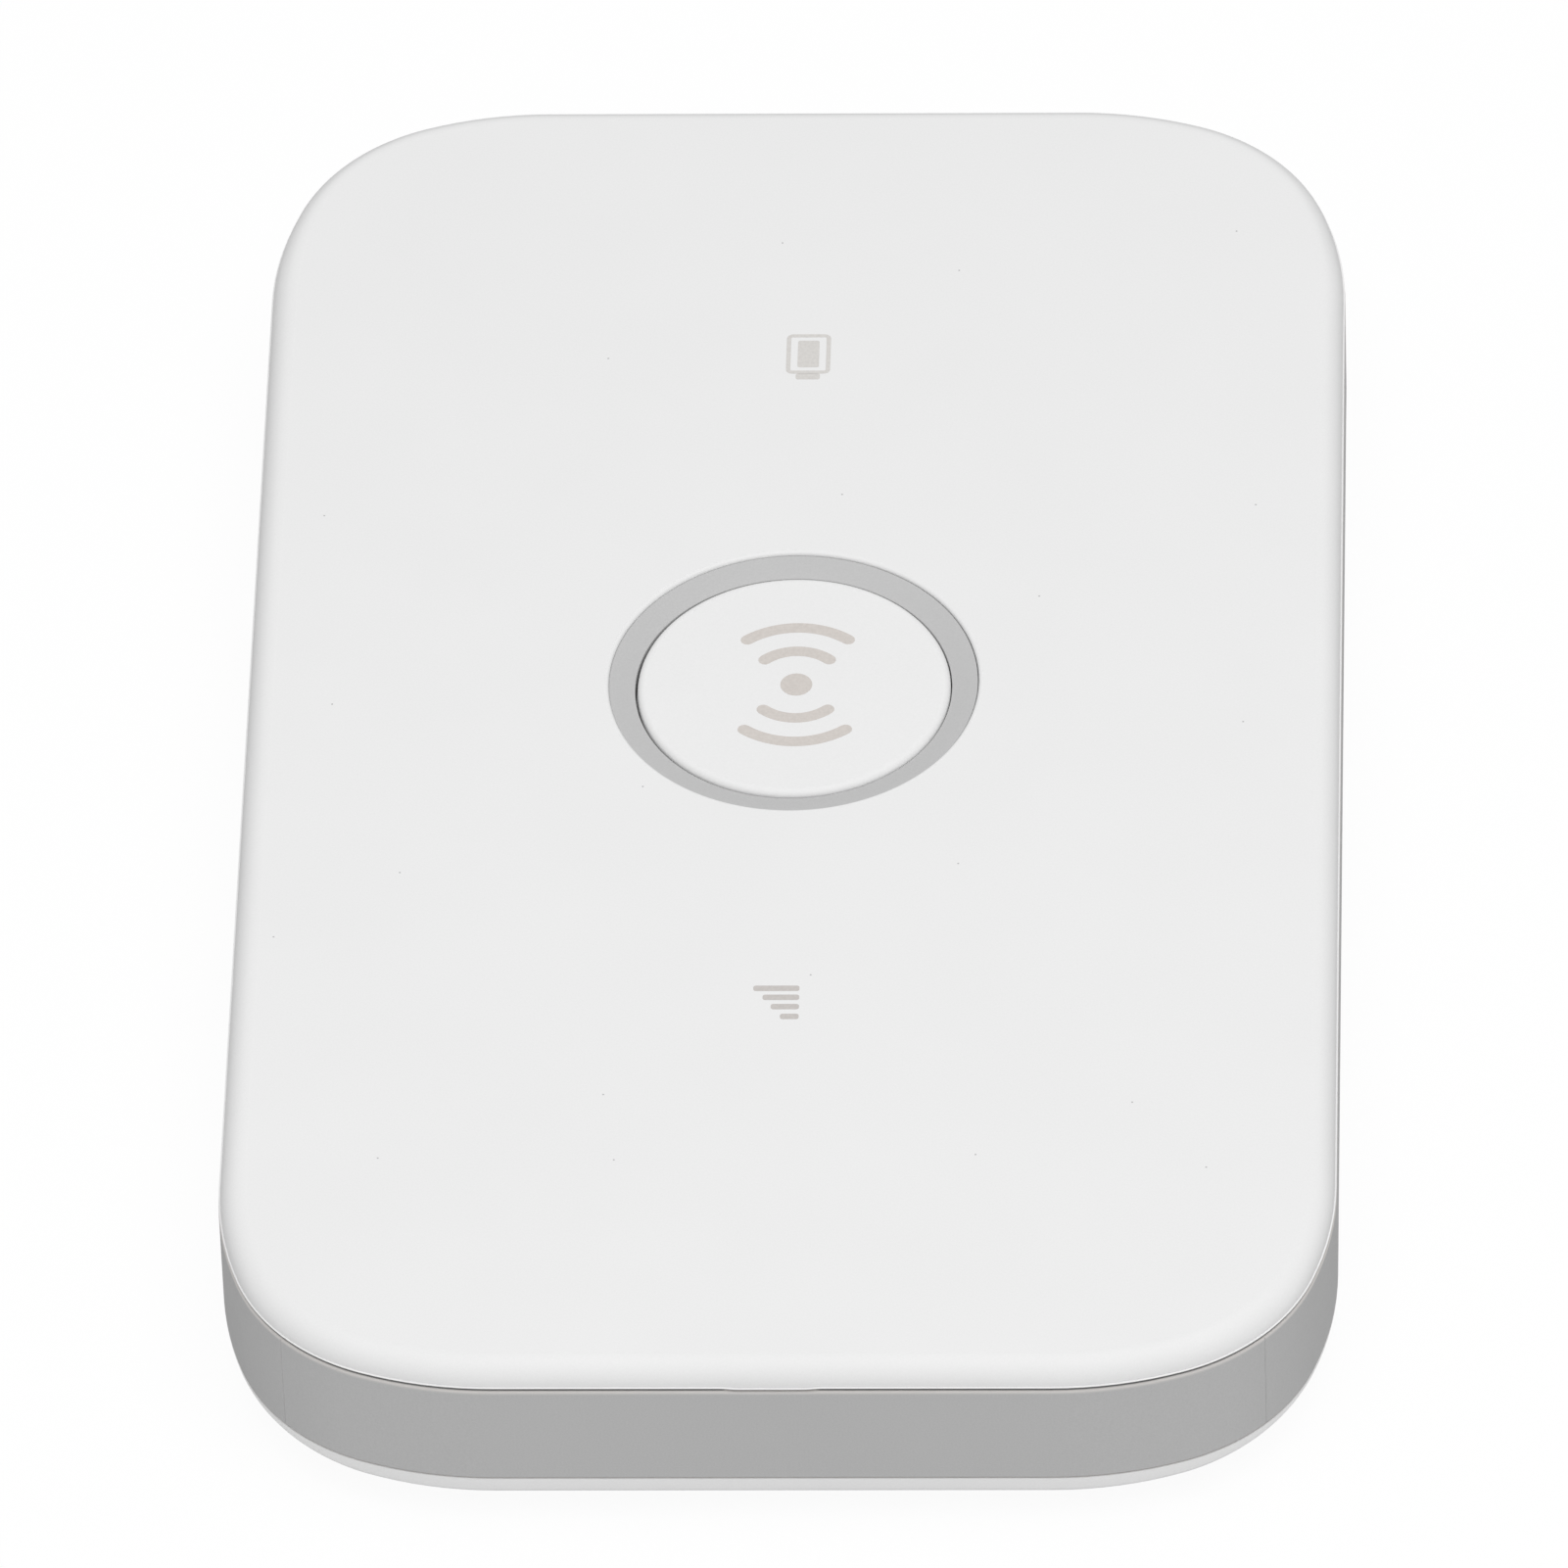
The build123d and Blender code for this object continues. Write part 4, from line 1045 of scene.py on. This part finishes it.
def milky_plastic():
    """Hazy plastic that lets some light through."""
    look = Look("milky_light_guide", roughness=0.30, specular=0.5)
    haze = look.ramp(look.noise(0.7 * MM, detail=3), 0.3, 0.7)
    look.paint(look.blend(haze, (0.80, 0.81, 0.82, 1), (0.88, 0.89, 0.90, 1)))
    look.shader.inputs["Transmission Weight"].default_value = 0.35
    look.uneven_gloss(0.5 * MM, 0.05)
    look.bump(haze, 3e-6)
    return look


def led_cap():
    """Clear cap over a yellow phosphor with visible grains."""
    look = Look("led_cap", roughness=0.22, specular=0.5, coat=0.4)
    phosphor = look.ramp(look.cells(0.08 * MM), 0.1, 0.5)
    look.paint(look.blend(phosphor, (0.80, 0.68, 0.20, 1), (0.88, 0.83, 0.52, 1)))
    look.uneven_gloss(0.3 * MM, 0.05)
    look.bump(look.noise(0.15 * MM), 2e-6)
    return look


def antenna_film():
    """Dark film with copper traces."""
    look = Look("antenna_film", roughness=0.30, specular=0.5)
    along = look.stripes("X", 2.0 * MM, 0.55)
    traces = look.math("MAXIMUM", along, look.stripes("Y", 1.6 * MM, 0.25))
    sheen = look.ramp(look.noise(2 * MM, detail=3), 0.3, 0.7)
    copper = look.blend(sheen, (0.17, 0.095, 0.045, 1), (0.25, 0.14, 0.065, 1))
    look.paint(look.blend(traces, (0.030, 0.026, 0.022, 1), copper))
    look.uneven_gloss(0.8 * MM, 0.05)
    look.bump(traces, 6e-6)
    return look


def battery_wrap():
    """Dark shrink film with soft folds along the battery."""
    look = Look("battery_wrap", roughness=0.46, specular=0.4)
    folds = look.ramp(look.noise(4 * MM, detail=3, stretch=(1, 0.35, 1)), 0.35, 0.65)
    look.paint(look.blend(folds, shade(0.085), shade(0.105)))
    look.uneven_gloss(1.2 * MM, 0.06)
    look.bump(folds, 20e-6)
    look.bump(look.noise(0.10 * MM), 1e-6)
    return look


def label_paper():
    """Blank label paper with a slate border."""
    look = Look("battery_label_paper", roughness=0.62, specular=0.3)
    fibres = look.ramp(look.noise(0.25 * MM, detail=4, stretch=(1, 0.3, 1)), 0.3, 0.7)
    paper = look.blend(fibres, shade(0.80), shade(0.84))
    label_low, label_high = box_mm("battery_label")
    edges = []
    for name, start, end in zip("XY", label_low, label_high):
        middle_place = (start + end) / 2 * MM
        away = look.math("ABSOLUTE", look.math("SUBTRACT", look.axis(name), middle_place))
        edges.append(look.math("GREATER_THAN", away, ((end - start) / 2 - LABEL_BORDER) * MM))
    border = look.math("MAXIMUM", *edges)
    look.paint(look.blend(border, paper, (0.22, 0.30, 0.38, 1)))
    look.uneven_gloss(0.8 * MM, 0.06)
    look.bump(fibres, 2e-6)
    return look


dress(
    moulded_plastic("chassis_plastic", 0.76, roughness=0.6, grain=0.18 * MM, relief=3e-6),
    "chassis",
)
dress(circuit_board(), "main_board")
dress(shield_plate(), "processor_shield", "power_shield", "radio_shield")
dress(
    plated_metal("socket_nickel_plate", 0.70, (1.0, 0.99, 0.97), 0.28, stretch=(0.08, 1, 1)),
    "usb_socket_shell",
    "sim_socket_frame",
)
dress(
    plated_metal("screw_nickel_plate", 0.60, (1.0, 0.99, 0.975), 0.24, grain=0.12 * MM),
    "case_screws",
)
dress(
    plated_metal("gold_plate", 0.83, (1.0, 0.76, 0.38), 0.24, grain=0.10 * MM),
    "usb_contacts",
    "sim_contacts",
    "battery_contact_springs",
    "battery_terminals",
    "antenna_clips",
    "radio_test_ports",
)
dress(
    chip_compound(),
    "processor_chip",
    "memory_chip",
    "power_manager_chip",
    "radio_transceiver_chip",
    "power_amplifier_chips",
    "wireless_lan_chip",
)
dress(
    moulded_plastic(
        "glass_filled_black_plastic", 0.032, roughness=0.5, grain=0.07 * MM, relief=1.5e-6
    ),
    "usb_socket_insert",
    "sim_socket_base",
    "battery_contact_block",
    "power_switch_body",
    "reset_switch_body",
)
dress(
    moulded_plastic("plunger_grey_plastic", 0.44, (1.0, 0.98, 0.94), roughness=0.38),
    "power_switch_plunger",
    "reset_switch_plunger",
)
dress(thermal_silicone(), "thermal_pad")
dress(ceramic_body(), "board_components")
dress(milky_plastic(), "battery_light_guide", "signal_light_guide")
dress(led_cap(), "battery_led", "signal_led")
dress(antenna_film(), "main_antenna", "diversity_antenna", "wireless_lan_antenna")
dress(battery_wrap(), "battery_pack")
dress(label_paper(), "battery_label")

# ---- Floor, lights and camera ----------------------------------------------------------------

FLOOR_HALF = 4.0
FLOOR_TONES = (0.845, 0.855)
FLOOR_WHITE = 0.93  # share of the floor that the camera sees as plain white
FLOOR_GLOW = 1.01
SKY_STRENGTH = 0.5
LAMP_WAY = Vector((0.09, -0.23, 1.0)).normalized()
LAMP_DISTANCE = 0.70
LAMP_SIZE = 0.6
LAMP_POWER = 3.05

CAMERA_AZIMUTH = math.radians(2.852)
CAMERA_ELEVATION = math.radians(43.974)
CAMERA_ROLL = math.radians(-2.097)
CAMERA_DISTANCE = 1.1967
CAMERA_LENS = 516.4
CAMERA_SENSOR = 36.0
CAMERA_REACH = (0.01, 20.0)  # nearest and furthest distance that it sees
CAMERA_SIDESTEP = -0.00073
CAMERA_RISE = 0.004456

PLAIN_WHITE = (1.0, 1.0, 1.0, 1.0)
box_low, box_high = cad_box
scene = bpy.context.scene


def show_white(tree, kind, share, strength):
    """Show the camera that share of plain white, while other rays see what the tree gives."""
    seen = tree.nodes.new("ShaderNodeLightPath").outputs["Is Camera Ray"]
    amount = tree.nodes.new("ShaderNodeMath")
    amount.operation = "MULTIPLY"
    amount.inputs[1].default_value = share
    tree.links.new(seen, amount.inputs[0])
    plain = tree.nodes.new(kind)
    plain.inputs["Color"].default_value = PLAIN_WHITE
    plain.inputs["Strength"].default_value = strength
    mix = tree.nodes.new("ShaderNodeMixShader")
    output = next(node for node in tree.nodes if node.type.startswith("OUTPUT"))
    lit = output.inputs["Surface"].links[0].from_socket
    tree.links.new(amount.outputs[0], mix.inputs[0])
    tree.links.new(lit, mix.inputs[1])
    tree.links.new(plain.outputs[0], mix.inputs[2])
    tree.links.new(mix.outputs[0], output.inputs["Surface"])


def make_floor():
    """Add the pale floor that the object lies on."""
    corners = [(-1, -1), (1, -1), (1, 1), (-1, 1)]
    mesh = bpy.data.meshes.new("floor")
    points = [(x * FLOOR_HALF, y * FLOOR_HALF, box_low.z) for x, y in corners]
    mesh.from_pydata(points, [], [(0, 1, 2, 3)])
    floor = bpy.data.objects.new("floor", mesh)
    scene.collection.objects.link(floor)
    look = Look("pale_floor", roughness=0.9, specular=0.1)
    look.paint(look.blend(look.noise(0.6), shade(FLOOR_TONES[0]), shade(FLOOR_TONES[1])))
    mesh.materials.append(look.material)
    show_white(look.tree, "ShaderNodeEmission", FLOOR_WHITE, FLOOR_GLOW)


def make_sky():
    """Light the scene evenly from all sides, and show the camera plain white."""
    world = bpy.data.worlds.new("studio")
    scene.world = world
    world.use_nodes = True
    sky = world.node_tree.nodes["Background"]
    sky.inputs["Color"].default_value = PLAIN_WHITE
    sky.inputs["Strength"].default_value = SKY_STRENGTH
    show_white(world.node_tree, "ShaderNodeBackground", 1.0, 1.0)


def make_lamp():
    """Hang a softbox over the object, a little towards the camera."""
    data = bpy.data.lights.new("softbox", "AREA")
    data.size = LAMP_SIZE
    data.energy = LAMP_POWER
    lamp = bpy.data.objects.new("softbox", data)
    lamp.location = (box_low + box_high) / 2 + LAMP_WAY * LAMP_DISTANCE
    lamp.rotation_euler = LAMP_WAY.to_track_quat("Z", "Y").to_euler()
    scene.collection.objects.link(lamp)


def make_camera():
    """Aim the camera from its azimuth, elevation, roll and distance, with a small shift."""
    flat = math.cos(CAMERA_ELEVATION)
    back = Vector((math.sin(CAMERA_AZIMUTH) * flat, -math.cos(CAMERA_AZIMUTH) * flat, 0))
    back.z = math.sin(CAMERA_ELEVATION)
    level = Vector((math.cos(CAMERA_AZIMUTH), math.sin(CAMERA_AZIMUTH), 0))
    rise = back.cross(level)
    across = level * math.cos(CAMERA_ROLL) + rise * math.sin(CAMERA_ROLL)
    upward = rise * math.cos(CAMERA_ROLL) - level * math.sin(CAMERA_ROLL)
    data = bpy.data.cameras.new("camera")
    data.lens = CAMERA_LENS
    data.sensor_width = CAMERA_SENSOR
    data.clip_start, data.clip_end = CAMERA_REACH
    camera = bpy.data.objects.new("camera", data)
    scene.collection.objects.link(camera)
    place = back * CAMERA_DISTANCE + across * CAMERA_SIDESTEP + upward * CAMERA_RISE
    turn = Matrix((across, upward, back)).transposed().to_4x4()
    camera.matrix_world = Matrix.Translation(place) @ turn
    scene.camera = camera


make_floor()
make_sky()
make_lamp()
make_camera()
scene.view_settings.view_transform = "Standard"
scene.view_settings.look = "None"
